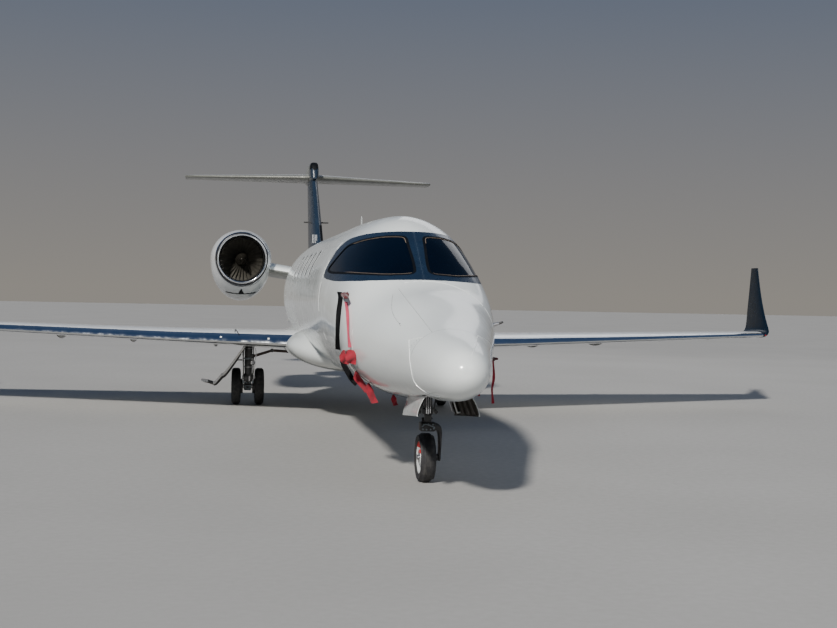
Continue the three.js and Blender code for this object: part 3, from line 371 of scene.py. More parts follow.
def make_looks():
    for key, row in PLAIN_LOOKS.items():
        looks[key] = plain_look(*row[:7], **dict(*row[7:]))
    for key, row in BRUSHED_LOOKS.items():
        looks[key] = brushed_look(*row)
    for key, row in CLOTH_LOOKS.items():
        looks[key] = cloth_look(*row)
    # The last values of these skin looks set their painted shade: grey towards the bottom between two
    # heights, up to a share
    looks["white"] = skin_look("white_paint", WHITE, HOOP_SEAMS, LONG_SEAMS, shade=(0.8, 1.5, 0.5))
    looks["radome"] = skin_look("radome_paint", WHITE, dirt=0.1, shade=(0.85, 1.1, 0.3))
    looks["nose"] = skin_look("nose_paint", WHITE, axis=1.25, radius=0.45, shade=(0.85, 1.35, 0.4))
    looks["wing"] = skin_look("wing_paint", PALE, dirt=0.1)
    looks["tail"] = skin_look("tail_paint", PALE, dirt=0.0)
    looks["nacelle"] = skin_look("nacelle_paint", (0.79, 0.81, 0.81), (11.35, 12.35, 13.1), (), 2.25, 0.5,
                                 0.0, (1.7, 2.35, 0.6))
    looks.update(tyre=tyre_look(), leather=leather_look(), glass=glass_look(), floor=floor_look())


def glass_look():
    """Tinted glass: mostly dark, with a little of what is behind it showing through."""
    look = Look("screen_glass", (0.001, 0.004, 0.011), 0.03, Alpha=0.82, IOR=1.45, Specular_IOR_Level=0.22)
    look.mottle(1.3, 0.3, 0.02, 0.05)
    look.bump(look.noise(1.6, 2), 0.003, 0.3)
    return look.material


CREASE = math.radians(32)


# Mesh building

def mesh_object(name, points, faces, material=None, sharp=CREASE):
    mesh = bpy.data.meshes.new(name)
    mesh.from_pydata([tuple(p) for p in points], [], faces)
    mesh.validate()
    made = add_object(name, mesh)
    if material:
        mesh.materials.append(looks[material])
    shade(made, sharp)
    return made


def shade(obj, sharp=CREASE):
    obj.data.shade_smooth()
    obj.data.set_sharp_from_angle(angle=sharp)


def ring_faces(rings, count, closed=False):
    faces = []
    for i in range(rings if closed else rings - 1):
        a, b = i * count, ((i + 1) % rings) * count
        faces += [(a + j, a + (j + 1) % count, b + (j + 1) % count, b + j) for j in range(count)]
    if not closed:
        faces.append(tuple(range(count - 1, -1, -1)))
        faces.append(tuple((rings - 1) * count + j for j in range(count)))
    return faces


def outward(obj):
    """Turns the faces out if the closed mesh is inside out."""
    mesh = obj.data
    volume = 0.0
    mesh.calc_loop_triangles()
    for t in mesh.loop_triangles:
        a, b, c = (mesh.vertices[i].co for i in t.vertices)
        volume += a.dot(b.cross(c))
    if volume < 0:
        mesh.flip_normals()
    return obj


def loft(name, rings, material, closed=False, sharp=CREASE):
    """Rings of equally many points joined into one skin; closed joins the last ring to the first."""
    rings = [np.asarray(r, float) for r in rings]
    faces = ring_faces(len(rings), len(rings[0]), closed)
    made = mesh_object(name, np.concatenate(rings), faces, material, sharp)
    outward(made)
    shade(made, sharp)
    return made


def box(name, low, high, material, bevel=0.0, segments=3):
    (x0, y0, z0), (x1, y1, z1) = low, high
    points = [(x, y, z) for z in (z0, z1) for x, y in ((x0, y0), (x1, y0), (x1, y1), (x0, y1))]
    faces = [(3, 2, 1, 0), (4, 5, 6, 7), (0, 1, 5, 4), (1, 2, 6, 5), (2, 3, 7, 6), (3, 0, 4, 7)]
    made = mesh_object(name, points, faces, material)
    return rounded(made, bevel, segments) if bevel else made


def rounded(obj, width, segments=3):
    mod = obj.modifiers.new("bevel", "BEVEL")
    mod.width = width
    mod.segments = segments
    mod.limit_method = "ANGLE"
    mod.angle_limit = math.radians(30)
    mod.harden_normals = False
    apply_modifiers(obj)
    shade(obj)
    return obj


def apply_modifiers(obj):
    bpy.context.view_layer.update()
    ready = obj.evaluated_get(bpy.context.evaluated_depsgraph_get())
    mesh = bpy.data.meshes.new_from_object(ready)
    old = obj.data
    obj.modifiers.clear()
    obj.data = mesh
    mesh.name = obj.name
    bpy.data.meshes.remove(old)


def boolean(obj, cutter, operation="DIFFERENCE", keep_cutter=False, sharp=CREASE):
    mod = obj.modifiers.new("cut", "BOOLEAN")
    mod.object = cutter
    mod.operation = operation
    mod.solver = "MANIFOLD"
    apply_modifiers(obj)
    if not keep_cutter:
        drop(cutter)
    shade(obj, sharp)
    return obj


def drop(*objs):
    for o in objs:
        data = o.data
        bpy.data.objects.remove(o)
        if data.users == 0:
            bpy.data.meshes.remove(data)


def join(name, objs):
    """Several meshes as one object, each keeping its own materials."""
    points, faces, marks, slots = [], [], [], []
    for o in objs:
        base = len(points)
        matrix = o.matrix_world
        points += [matrix @ v.co for v in o.data.vertices]
        table = []
        for m in o.data.materials:
            if m not in slots:
                slots.append(m)
            table.append(slots.index(m))
        for p in o.data.polygons:
            faces.append([base + v for v in p.vertices])
            marks.append(table[p.material_index] if table else 0)
    mesh = bpy.data.meshes.new(name)
    mesh.from_pydata(points, [], faces)
    for m in slots:
        mesh.materials.append(m)
    mesh.polygons.foreach_set("material_index", marks)
    drop(*objs)
    made = add_object(name, mesh)
    shade(made)
    return made


def mirror_copy(obj, name):
    made = copy_of(obj, name)
    made.data.name = name
    made.data.transform(Matrix.Scale(-1, 4, (1, 0, 0)))
    made.data.flip_normals()
    return made


def moved(obj, matrix):
    obj.data.transform(matrix)
    return obj


def frame_of(start, end):
    """Matrix that takes the Z axis from start towards end."""
    along = (Vector(end) - Vector(start)).normalized()
    return Matrix.Translation(Vector(start)) @ along.to_track_quat("Z", "Y").to_matrix().to_4x4()


def circle_angles(count):
    return np.arange(count) * 2 * math.pi / count


def turned(name, profile, material, sides=48, sharp=CREASE):
    """A profile of (radius, height) pairs turned about Z; ends on the axis are drawn to a tiny circle."""
    angles = circle_angles(sides)
    rings = [np.c_[max(r, 1e-4) * np.cos(angles), max(r, 1e-4) * np.sin(angles), np.full(sides, h)]
             for r, h in profile]
    closed = tuple(profile[0]) == tuple(profile[-1])
    if closed:
        rings.pop()
    return loft(name, rings, material, closed, sharp)


def rod(name, start, end, r0, r1=None, material="gear", sides=24, edge=None):
    """A round bar with slightly rounded ends."""
    r1 = r0 if r1 is None else r1
    length = (Vector(end) - Vector(start)).length
    e = min(r0, r1) * 0.18 if edge is None else edge
    profile = [(max(r0 - e, 1e-4), 0), (r0, e), (r1, length - e), (max(r1 - e, 1e-4), length)]
    return moved(turned(name, profile, material, sides), frame_of(start, end))


def rods(rows, origin=(0, 0, 0), sides=(1,)):
    """Round bars from rows of name, start, end, radius or two radii, look, number of faces and rounding."""
    made = []
    for side in sides:
        for name, start, end, radius, look, faces, *edge in rows:
            ends = [Vector(origin) + Vector((side * p[0], p[1], p[2])) for p in (start, end)]
            r0, r1 = radius if isinstance(radius, tuple) else (radius, radius)
            made.append(rod(name, *ends, r0, r1, look, faces, *edge))
    return made


def curve_point(a, b, c, d, t):
    """A point of the Catmull-Rom curve between b and c."""
    square, cube = 2 * a - 5 * b + 4 * c - d, 3 * b - a - 3 * c + d
    return 0.5 * (2 * b + (c - a) * t + square * t * t + cube * t ** 3)


def smooth_path(points, steps=8):
    """Smooth curve through the points."""
    p = [Vector(q) for q in points]
    p = [2 * p[0] - p[1]] + p + [2 * p[-1] - p[-2]]
    return [curve_point(*p[i:i + 4], k / steps) for i in range(len(p) - 3) for k in range(steps)] + [p[-2]]


def ahead_at(path, i):
    """The direction of travel at a point of a path."""
    return (path[min(i + 1, len(path) - 1)] - path[max(i - 1, 0)]).normalized()


def tube(name, points, radius, material):
    """A pipe along a smooth path."""
    path = smooth_path(points)
    rings = []
    side = Vector((0, 0, 1))
    for i, at in enumerate(path):
        ahead = ahead_at(path, i)
        side = (side - ahead * side.dot(ahead))
        side = side.normalized() if side.length > 1e-6 else ahead.orthogonal().normalized()
        other = ahead.cross(side)
        rings.append([at + radius * (math.cos(a) * side + math.sin(a) * other) for a in circle_angles(12)])
    return loft(name, rings, material)


def tubes(rows, origin, sides=(1,)):
    """Pipes from rows of radius, look and points."""
    made = []
    for side in sides:
        for radius, look, points in rows:
            path = [origin + Vector((side * p[0], p[1], p[2])) for p in points]
            made.append(tube("pipe", path, radius, look))
    return made


SQUARE = ((-1, -1), (1, -1), (1, 1), (-1, 1))


def band(name, path, width, thick, look, up_at, corners=SQUARE, sharp=CREASE):
    """A strip along a path; up_at gives the direction of its thickness at a point with a direction of
    travel."""
    rings = []
    for i, p in enumerate(path):
        ahead = ahead_at(path, i)
        up = up_at(p, ahead)
        across = ahead.cross(up).normalized()
        rings.append([p + across * width / 2 * a + up * thick / 2 * b for a, b in corners])
    return loft(name, rings, look, sharp=sharp)


def put(obj, body="airframe", replaces=()):
    """Hangs a finished piece on the empty of the body it rides on, and hides the solids it stands for."""
    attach(obj, body)
    if replaces:
        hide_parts(*replaces)
    return obj


# Curves through tables

def spline(x, y):
    """Natural cubic curve through points; y has one row of values for each x."""
    x, y = np.asarray(x, float), np.asarray(y, float)
    n, h = len(x), np.diff(x)
    a, b = np.zeros((n, n)), np.zeros_like(y)
    a[0, 0] = a[-1, -1] = 1
    for i in range(1, n - 1):
        a[i, i - 1:i + 2] = h[i - 1], 2 * (h[i - 1] + h[i]), h[i]
        b[i] = 6 * ((y[i + 1] - y[i]) / h[i] - (y[i] - y[i - 1]) / h[i - 1])
    m = np.linalg.solve(a, b)

    def at(t):
        t = np.atleast_1d(np.asarray(t, float))
        i = np.clip(np.searchsorted(x, t) - 1, 0, n - 2)
        d, u, v = h[i][:, None], (t - x[i])[:, None], (x[i + 1] - t)[:, None]
        return (m[i] * v ** 3 + m[i + 1] * u ** 3) / (6 * d) + (y[i] / d - m[i] * d / 6) * v \
            + (y[i + 1] / d - m[i + 1] * d / 6) * u
    return at


def ovals(values, stations, count, inset=0.0):
    """Oval sections: values holds half width, top, bottom, middle, squareness below and above for each
    station."""
    angles = circle_angles(count)
    c, s = np.cos(angles), np.sin(angles)
    rings = []
    for station, (half, top, bottom, middle, below, above) in zip(stations, values):
        square = np.where(s > 0, above, below)
        reach = np.where(s > 0, top - middle, middle - bottom)
        x = np.sign(c) * np.abs(c) ** (2 / square) * max(half - inset, 0.004)
        z = np.sign(s) * np.abs(s) ** (2 / square) * np.maximum(reach - inset, 0.004)
        rings.append(np.c_[x, np.full(count, station - HALF), middle + z])
    return rings


# Fuselage: station, half width, top, bottom, height of the widest line, squareness below and above that line
FUSELAGE = [
    (0.00, 0.012, 1.142, 1.118, 1.130, 2, 2),
    (0.03, 0.100, 1.228, 1.036, 1.130, 2, 2),
    (0.10, 0.168, 1.292, 0.970, 1.134, 2, 2),
    (0.25, 0.236, 1.356, 0.906, 1.142, 2, 2),
    (0.45, 0.292, 1.410, 0.876, 1.156, 2.05, 2.05),
    (0.70, 0.350, 1.464, 0.857, 1.175, 2.1, 2.1),
    (1.20, 0.465, 1.590, 0.819, 1.220, 2.15, 2.15),
    (1.70, 0.590, 1.740, 0.788, 1.270, 2.2, 2.15),
    (2.15, 0.695, 1.893, 0.765, 1.330, 2.2, 2.1),
    (2.50, 0.766, 2.125, 0.752, 1.400, 2.15, 2.02),
    (2.85, 0.800, 2.358, 0.742, 1.480, 2.1, 1.88),
    (3.30, 0.822, 2.532, 0.735, 1.580, 2.05, 1.87),
    (3.90, 0.858, 2.583, 0.730, 1.660, 2, 1.93),
    (4.80, 0.872, 2.590, 0.730, 1.668, 2, 2),
    (6.00, 0.872, 2.590, 0.730, 1.668, 2, 2),
    (7.80, 0.872, 2.590, 0.730, 1.668, 2, 2),
    (9.00, 0.872, 2.590, 0.730, 1.668, 2, 2),
    (9.60, 0.872, 2.590, 0.732, 1.668, 2, 2),
    (10.60, 0.848, 2.580, 0.775, 1.686, 2, 2),
    (11.80, 0.760, 2.535, 0.905, 1.728, 2, 2),
    (13.00, 0.620, 2.465, 1.090, 1.785, 2, 2),
    (14.20, 0.450, 2.385, 1.310, 1.850, 2, 2),
    (15.20, 0.290, 2.310, 1.530, 1.920, 2, 2),
    (15.90, 0.165, 2.255, 1.720, 1.985, 2, 2),
    (16.10, 0.100, 2.200, 1.820, 2.005, 2, 2),
]
BREAKS = {"radome": 0.70, "nose": 2.10, "cockpit": 3.85, "cabin": 10.40, "tail": 16.10}
_shape = spline([math.sqrt(r[0]) for r in FUSELAGE], [r[1:] for r in FUSELAGE])


def body_at(stations):
    return _shape(np.sqrt(np.maximum(stations, 0)))


def body_rings(stations, count=144, inset=0.0):
    return ovals(body_at(stations), stations, count, inset)


def section_half(station, z):
    """Half width, middle, reach and squareness of a section's upper or lower half, by a height in it."""
    half, top, bottom, middle, below, above = body_at(station)[0]
    return (half, middle, top - middle, above) if z > middle else (half, middle, middle - bottom, below)


def side_x(station, z):
    """Distance of the skin from the centreline at a station and height."""
    half, middle, reach, square = section_half(station, z)
    return half * max(1 - (abs(z - middle) / reach) ** square, 0) ** (1 / square)


def top_z(station, x, below=False):
    """Height of the skin, over or under the widest line, at a station and distance from the centreline."""
    side = -1 if below else 1
    half, middle, reach, square = section_half(station, side * math.inf)
    return middle + side * reach * max(1 - (abs(x) / half) ** square, 0) ** (1 / square)


def on_skin(x, station, z):
    """The skin's point in the direction of a point from the middle of its section."""
    half, middle, reach, square = section_half(station, z)
    k = ((abs(x) / half) ** square + (abs(z - middle) / reach) ** square) ** (-1 / square)
    return place(x * k, station, middle + (z - middle) * k)


def skin_path(points, steps=6):
    """A smooth path on the skin through points near it."""
    return [on_skin(p.x, p.y + HALF, p.z) for p in smooth_path([place(*q) for q in points], steps)]


def skin_normal(p):
    middle = body_at(p.y + HALF)[0][3]
    return Vector((p.x, -0.25 * math.hypot(p.x, p.z - middle), p.z - middle)).normalized()


def skin_strip(points, width, look):
    """A raised strip that follows the skin along a path."""
    corners = ((-1, -1), (1, -1), (0.5, 1), (-0.5, 1))
    return band("strip", skin_path(points), width, 0.008, look, lambda p, ahead: skin_normal(p), corners)


def rivets(points, apart, pitch, look):
    """Two rows of rivet heads beside a path on the skin."""
    path = skin_path(points, 40)
    made, run = [], 0.0
    for a, b in zip(path, path[1:]):
        run += (b - a).length
        if run < pitch:
            continue
        run = 0.0
        up = skin_normal(b)
        across = (b - a).cross(up).normalized()
        for side in (-apart, apart):
            at = b + across * side
            made.append(rod("rivet", at - up * 0.003, at + up * 0.0016, 0.0045, None, look, 6, 0.0006))
    return made


def body_shell(name, start, end, step, thick, material, count=144):
    """A hollow length of the fuselage, open at both ends."""
    stations = np.linspace(start, end, max(int((end - start) / step), 2) + 1)
    rings = body_rings(stations, count) + body_rings(stations[::-1], count, thick)
    shell = loft(name, rings, material, closed=True, sharp=math.radians(40))
    shell.data.materials.append(looks["lining"])
    for face in shell.data.polygons:
        if min(face.vertices) >= len(stations) * count:
            face.material_index = 1
    return shell


def thin_skin(name, start, end, step, out, depth, material, count=144):
    """A thin layer from out beyond the skin to depth below it."""
    stations = np.linspace(start, end, max(int((end - start) / step), 2) + 1)
    rings = body_rings(stations, count, -out) + body_rings(stations[::-1], count, depth)
    return loft(name, rings, material, closed=True, sharp=math.radians(40))


def round_corners(points, radius, steps=6):
    """Closed outline with its corners rounded; points are pairs, radius one value or one for each corner."""
    p = [Vector(q) for q in points]
    out = []
    for i, corner in enumerate(p):
        r = radius[i] if hasattr(radius, "__len__") else radius
        before, after = (p[i - 1] - corner), (p[(i + 1) % len(p)] - corner)
        reach = min(r, before.length * 0.49, after.length * 0.49)
        a, b = corner + before.normalized() * reach, corner + after.normalized() * reach
        for k in range(steps + 1):
            t = k / steps
            out.append((1 - t) ** 2 * a + 2 * t * (1 - t) * corner + t * t * b)
    return out


# Planes for outlines: seen from the side with Y to the right, and seen from the front with X to the right
FROM_SIDE = Matrix(((0, 0, 1), (1, 0, 0), (0, 1, 0))).to_4x4()

FROM_FRONT = Matrix(((1, 0, 0), (0, 0, -1), (0, 1, 0))).to_4x4()


def prism(name, outline, matrix, depth, material=None):
    """A closed outline in the matrix's XY plane, carried both ways along its Z axis."""
    n = len(outline)
    points = [matrix @ Vector((p[0], p[1], h)) for h in (-depth, depth) for p in outline]
    made = mesh_object(name, points, ring_faces(2, n), material)
    return outward(made)


def facing_matrix(middle, direction):
    out = Vector(direction).normalized()
    side = Vector((0, 0, 1)).cross(out).normalized()
    up = out.cross(side)
    return Matrix.Translation(middle) @ Matrix((side, up, out)).transposed().to_4x4()


def offset_outline(outline, grow):
    """Moves an outline out by a distance, along its own normals."""
    n = len(outline)
    area = sum(outline[i - 1].cross(outline[i]) for i in range(n))
    sign = 1 if area > 0 else -1
    out = []
    for i in range(n):
        t = outline[(i + 1) % n] - outline[i - 1]
        if t.length < 1e-9:
            continue
        t.normalize()
        out.append(outline[i] + sign * grow * Vector((t.y, -t.x)))
    return out


def keep_normals(obj, source):
    """Takes the smooth shading of the uncut skin, so that no cut shows as a dent in the gloss."""
    mod = obj.modifiers.new("normals", "DATA_TRANSFER")
    mod.object = source
    mod.use_loop_data = True
    mod.data_types_loops = {"CUSTOM_NORMAL"}
    mod.loop_mapping = "POLYINTERP_NEAREST"
    mod.use_max_distance = True
    mod.max_distance = 0.002
    apply_modifiers(obj)
    return obj


# Windscreen: the left pane's outline and that of the dark surround, as points on the skin
SCREEN = [(0.071, 2.277, 1.966), (0.103, 2.246, 1.944), (0.143, 2.244, 1.937), (0.218, 2.259, 1.932),
          (0.342, 2.313, 1.926), (0.467, 2.425, 1.929), (0.583, 2.605, 1.934), (0.678, 2.912, 1.941),
          (0.751, 3.348, 1.949), (0.771, 3.537, 1.961), (0.781, 3.675, 1.980), (0.771, 3.690, 2.015),
          (0.729, 3.606, 2.074), (0.664, 3.516, 2.163), (0.598, 3.445, 2.238), (0.516, 3.248, 2.278),
          (0.397, 3.041, 2.309), (0.268, 2.907, 2.325), (0.136, 2.821, 2.325), (0.105, 2.802, 2.320),
          (0.086, 2.762, 2.299), (0.082, 2.705, 2.263), (0.078, 2.614, 2.202), (0.071, 2.510, 2.130),
          (0.065, 2.410, 2.058), (0.065, 2.327, 2.000)]
SURROUND = [(-0.15, 2.128, 1.884), (0.0, 2.133, 1.884), (0.12, 2.141, 1.882), (0.223, 2.172, 1.88),
            (0.355, 2.241, 1.874), (0.476, 2.342, 1.869), (0.601, 2.515, 1.862), (0.700, 2.817, 1.860),
            (0.759, 3.150, 1.866), (0.787, 3.427, 1.876), (0.804, 3.618, 1.887), (0.815, 3.770, 1.912),
            (0.802, 3.838, 1.964), (0.770, 3.826, 2.040), (0.728, 3.803, 2.116), (0.683, 3.805, 2.192),
            (0.638, 3.770, 2.248), (0.574, 3.678, 2.307), (0.497, 3.423, 2.340), (0.383, 3.158, 2.361),
            (0.257, 2.997, 2.371), (0.123, 2.911, 2.376), (0.0, 2.882, 2.376), (-0.15, 2.882, 2.376)]
FACING = (0.62, -0.52, 0.59)


def flat_curve(points, direction):
    """Smooth closed outline through points on the skin, seen along a direction, and its plane's matrix."""
    points = [place(*p) for p in points]
    matrix = facing_matrix(sum(points, Vector()) / len(points), direction)
    flat = [(matrix.inverted() @ p).to_2d() for p in points]
    out = []
    for i in range(len(flat)):
        corners = [flat[(i + k) % len(flat)] for k in (-1, 0, 1, 2)]
        out += [curve_point(*corners, k / 5) for k in range(5)]
    return out, matrix


def screen_part(name, outline, matrix, out, depth, look, inner=None):
    """A layer of the left windscreen inside an outline, with the part inside an inner outline cut out."""
    part = thin_skin(name, 2.1, 3.8, 0.022, out, depth, look, 160)
    boolean(part, prism("cut", outline, matrix, 0.6), "INTERSECT")
    if inner:
        boolean(part, prism("cut", inner, matrix, 0.7))
    return part


def make_cockpit():
    start, end = BREAKS["nose"] + 0.001, BREAKS["cockpit"] - 0.001
    skin = body_shell("cockpit_skin", start, end, 0.022, 0.03, "white", 160)
    smooth = copy_of(skin, "cockpit_uncut")
    opening, matrix = flat_curve(SCREEN, FACING)
    hole = prism("hole", opening, matrix, 0.6)
    other = mirror_copy(hole, "hole_right")
    boolean(skin, hole, keep_cutter=True)
    boolean(skin, other, keep_cutter=True)
    keep_normals(skin, smooth)
    put(skin, "airframe", ["cockpit_section"])
    make_surround(smooth, {1: hole, -1: other})

    pane = screen_part("windscreen_pane_left", offset_outline(opening, -0.004), matrix, -0.005, 0.02, "glass")
    rims = []
    for grow, inner, out, look in ((0.010, -0.013, 0.002, "jet"), (-0.0132, -0.0185, 0.0005, "seal")):
        outlines = offset_outline(opening, grow), offset_outline(opening, inner)
        rims.append(screen_part("windscreen_rim", outlines[0], matrix, out, 0.012, look, outlines[1]))
    boolean(rims[1], box("sides", (-2, -HALF, 1.955), (2, 0, 2.255), None))
    rim = join("windscreen_rim_left", rims)
    put(mirror_copy(pane, "windscreen_pane_right"), "airframe", ["windscreen_right"])
    put(pane, "airframe", ["windscreen_left"])
    put(mirror_copy(rim, "windscreen_rim_right"), "airframe", ())
    put(rim, "airframe", ())


def make_surround(smooth, holes):
    """The dark paint round the windscreen, and the post between the panes."""
    outline, plane = flat_curve(SURROUND, FACING)
    layers = []
    for side, hole in holes.items():
        layer = thin_skin("surround", 2.02, 3.848, 0.022, 0.0008, 0.004, "mask", 160)
        half = prism("half", outline, plane, 0.7)
        if side < 0:
            whole, half = half, mirror_copy(half, "half_right")
            drop(whole)
        keep = box("keep", (min(2 * side, 0), -HALF, 0), (max(2 * side, 0), HALF, 4), None)
        boolean(half, keep, "INTERSECT")
        boolean(layer, half, "INTERSECT")
        boolean(layer, hole)
        keep_normals(layer, smooth)
        layers.append(layer)
    drop(smooth)
    post = [place(0, t, top_z(t, 0) + 0.0012) for t in np.linspace(2.15, 2.88, 12)]
    layers.append(band("post", post, 0.003, 0.0012, "post", lambda p, ahead: Vector((1, 0, 0)).cross(ahead)))
    rivet = [("rivet", (0.012, 0, -0.002), (0.012, 0, 0.0004), 0.0022, "post", 6, 0.0003)]
    for p in smooth_path(post, 3):
        layers += rods(rivet, p, (-1, 1))
    put(join("windscreen_surround_paint", layers), "airframe", ())


WINDOW = {"stations": (5.68, 6.38, 7.08, 7.78, 8.48), "wide": 0.29, "tall": 0.35, "middle": 2.085,
          "corner": 0.1}
DOOR = {"from": 3.99, "to": 4.74, "sill": 1.06, "split": 1.79, "top": 2.40, "gap": 0.003, "corner": 0.004}


def window_prism(name, station, grow=0.0):
    w, h = WINDOW["wide"] / 2 + grow, WINDOW["tall"] / 2 + grow
    outline = round_corners([(-w, -h), (w, -h), (w, h), (-w, h)], WINDOW["corner"], 8)
    return prism(name, outline, Matrix.Translation(place(0.75, station, WINDOW["middle"])) @ FROM_SIDE, 0.35)


def window_parts(station, step):
    """Pane and rim of one cabin window on the left."""
    pane = thin_skin("pane", station - 0.2, station + 0.2, step, -0.006, 0.014, "window")
    boolean(pane, window_prism("cut", station, -0.003), "INTERSECT")
    rim = thin_skin("rim", station - 0.25, station + 0.25, step, 0.0012, 0.01, "grey")
    boolean(rim, window_prism("cut", station, 0.004), "INTERSECT")
    boolean(rim, window_prism("cut", station, -0.012))
    return pane, rim


def doorway(name, grow, low, high):
    a, b = DOOR["from"] - grow - HALF, DOOR["to"] + grow - HALF
    outline = round_corners([(a, low), (b, low), (b, high), (a, high)], DOOR["corner"], 8)
    return prism(name, outline, Matrix.Translation((0.65, 0, 0)) @ FROM_SIDE, 0.45)


def make_cabin():
    start, end = BREAKS["cockpit"] + 0.001, BREAKS["cabin"] - 0.001
    skin = body_shell("cabin_skin", start, end, 0.045, 0.03, "white")
    smooth = copy_of(skin, "cabin_uncut")
    cutters = []
    for station in WINDOW["stations"]:
        cutters.append(window_prism("cut", station))
        cutters.append(mirror_copy(cutters[-1], "cut_right"))
    cutters.append(doorway("cut_door", 0, DOOR["sill"], DOOR["top"] + 0.005))
    boolean(skin, join("cutters", cutters))
    keep_normals(skin, smooth)
    drop(smooth)
    put(skin, "airframe", ["entrance_section", "cabin_section", "baggage_section"])

    panes, rims = zip(*[window_parts(station, 0.045) for station in WINDOW["stations"]])
    panes, rims = join("cabin_panes_left", panes), join("cabin_window_rims_left", rims)
    put(mirror_copy(panes, "cabin_panes_right"), "airframe", ["cabin_windows_right"])
    put(panes, "airframe", ["cabin_windows_left"])
    put(mirror_copy(rims, "cabin_window_rims_right"), "airframe", ())
    put(rims, "airframe", ())


def make_plain_fuselage():
    u = np.linspace(0, math.sqrt(BREAKS["radome"] - 0.0015), 60)
    put(loft("radome_skin", body_rings(u ** 2, 128), "radome"), "airframe", ["radome"])
    stations = np.linspace(BREAKS["radome"] + 0.0015, BREAKS["nose"] - 0.001, 60)
    nose = loft("nose_skin", body_rings(stations, 144), "nose", sharp=math.radians(40))
    # The cut leaves the well's walls in the near black of painted shade
    well = box("well", place(-0.212, 0.76, 0), place(0.212, 2.04, 1.12), "dark")
    boolean(nose, well)
    put(nose, "airframe", ["nose_section"])
    stations = np.linspace(BREAKS["cabin"] + 0.001, BREAKS["tail"], 110)
    put(loft("tail_cone_skin", body_rings(stations, 144), "white"), "airframe", ["tail_cone"])


# Lifting surfaces

FOIL_STEPS = 26
LEAD_STRIP = 0.06


def foil_share(count):
    """Shares of the chord from the trailing edge to the leading edge, close together at both ends."""
    return (1 + np.cos(np.pi * np.arange(count + 1) / count)) / 2


def foil(chord, ratio, grow=0.0, under=1.0):
    """Section points from the trailing edge over the top to the leading edge and back below."""
    c = foil_share(FOIL_STEPS)
    c[np.argmin(np.abs(c - LEAD_STRIP))] = LEAD_STRIP
    h = half_thickness(chord, ratio, c)
    along = c * (chord + 2 * grow) - grow
    return np.concatenate([np.c_[along, grow + h], np.c_[along, -grow - under * h][-2::-1]])


def half_thickness(chord, ratio, c):
    """Half thickness of the foil at a share of its chord."""
    curve = 0.2969 * np.sqrt(c) - 0.126 * c - 0.3516 * c ** 2 + 0.2843 * c ** 3 - 0.1022 * c ** 4
    return 5 * ratio * chord * curve


def panel_rings(rows, grow=0.0, drop=0.0, split=0.25):
    """Sections for rows of x, leading edge, height, chord, thickness ratio, lean, incidence and flatness
    below."""
    rings = []
    for x, lead, z, chord, ratio, lean, incidence, under in rows:
        a, b = math.radians(lean), math.radians(incidence)
        section = foil(chord, ratio, grow, under)
        up = section[:, 1] * math.cos(b) - section[:, 0] * math.sin(b) - drop
        aft = section[:, 0] * math.cos(b) + section[:, 1] * math.sin(b)
        rings.append(np.c_[x - up * math.sin(a), lead + aft - HALF, z + up * math.cos(a)])
    return subdivided(rings, split)


def subdivided(rings, step):
    out = [rings[0]]
    for a, b in zip(rings, rings[1:]):
        n = max(int(np.abs(b - a).max() / step), 1)
        out += [a + (b - a) * k / n for k in range(1, n + 1)]
    return out


def panel(name, rows, material, grow=0.0, drop=0.0, strip=None):
    made = loft(name, panel_rings(rows, grow, drop), material, sharp=math.radians(50))
    if strip:
        add_strip(made, strip)
    return made


def add_strip(obj, look):
    """The faces round the leading edge take another material."""
    obj.data.materials.append(looks[look])
    count = 2 * FOIL_STEPS + 1
    reach = int(np.sum(foil_share(FOIL_STEPS) <= LEAD_STRIP * 1.3))
    for face in obj.data.polygons:
        if len(face.vertices) == 4 and all(abs(v % count - FOIL_STEPS) <= reach - 1 for v in face.vertices):
            face.material_index = 1


def shadow_side(obj, index, least=-0.1):
    """The faces that look down take the grey of the shaded underside."""
    obj.data.materials.append(looks["under"])
    for face in obj.data.polygons:
        if face.material_index == 0 and face.normal.z < least:
            face.material_index = index


def hinge_frame(start, end):
    """Local frame of a hinge line: X along it, Y aft, Z across the panel."""
    along = (end - start).normalized()
    aft = Vector((0, 1, 0)) - along * along.y
    aft.normalize()
    return Matrix.Translation(start) @ Matrix((along, aft, along.cross(aft))).transposed().to_4x4()


def slab(matrix, low, high):
    return moved(box("slab", low, high, None), matrix)


def bar(matrix, start, end, r0, r1):
    """A round bar along a hinge line."""
    return rod("bar", matrix @ Vector((start, 0, 0)), matrix @ Vector((end, 0, 0)), r0, r1, None, 40, 0.0001)


# Play beside a control surface, the gap round its nose and a length beyond every panel
RUN = 0.008
COVE = 0.011
FAR = 1.5


def split_surface(name, fixed, start, end, nose_start, nose_end, material):
    """Takes a control surface with a round nose off a panel, which keeps a cove around that nose."""
    matrix = hinge_frame(start, end)
    length = (end - start).length
    moving = copy_of(fixed, name)
    moving.data.materials[0] = looks[material]
    cut = slab(matrix, (0, 0, -FAR), (length, FAR, FAR))
    boolean(cut, bar(matrix, 0, length, nose_start, nose_end), "UNION")
    boolean(moving, cut, "INTERSECT")
    room = slab(matrix, (-RUN, RUN, -FAR), (length + RUN, FAR, FAR))
    boolean(room, bar(matrix, -RUN, length + RUN, nose_start + COVE, nose_end + COVE), "UNION")
    boolean(fixed, room)
    return moving


def split_panel(name, fixed, rows, spec, point, material):
    """split_surface between the two ends of a surface that takes a share of its panel's chord."""
    points, noses = [], []
    for key in ("from", "to"):
        row = row_at(rows, spec[key])
        points.append(point(spec[key], row))
        noses.append(half_thickness(row[3], row[4], spec["share"]))
    return split_surface(name, fixed, *points, *noses, material)


def copy_of(obj, name):
    return add_object(name, obj.data.copy())


def both_sides(obj, name, body, node=None):
    """Puts the left piece and its mirror image."""
    right = mirror_copy(obj, f"{name}_right")
    obj.name = f"{name}_left"
    for side, piece in (("left", obj), ("right", right)):
        put(piece, body if body == "airframe" else f"{body}_{side}", [f"{node}_{side}"] if node else ())


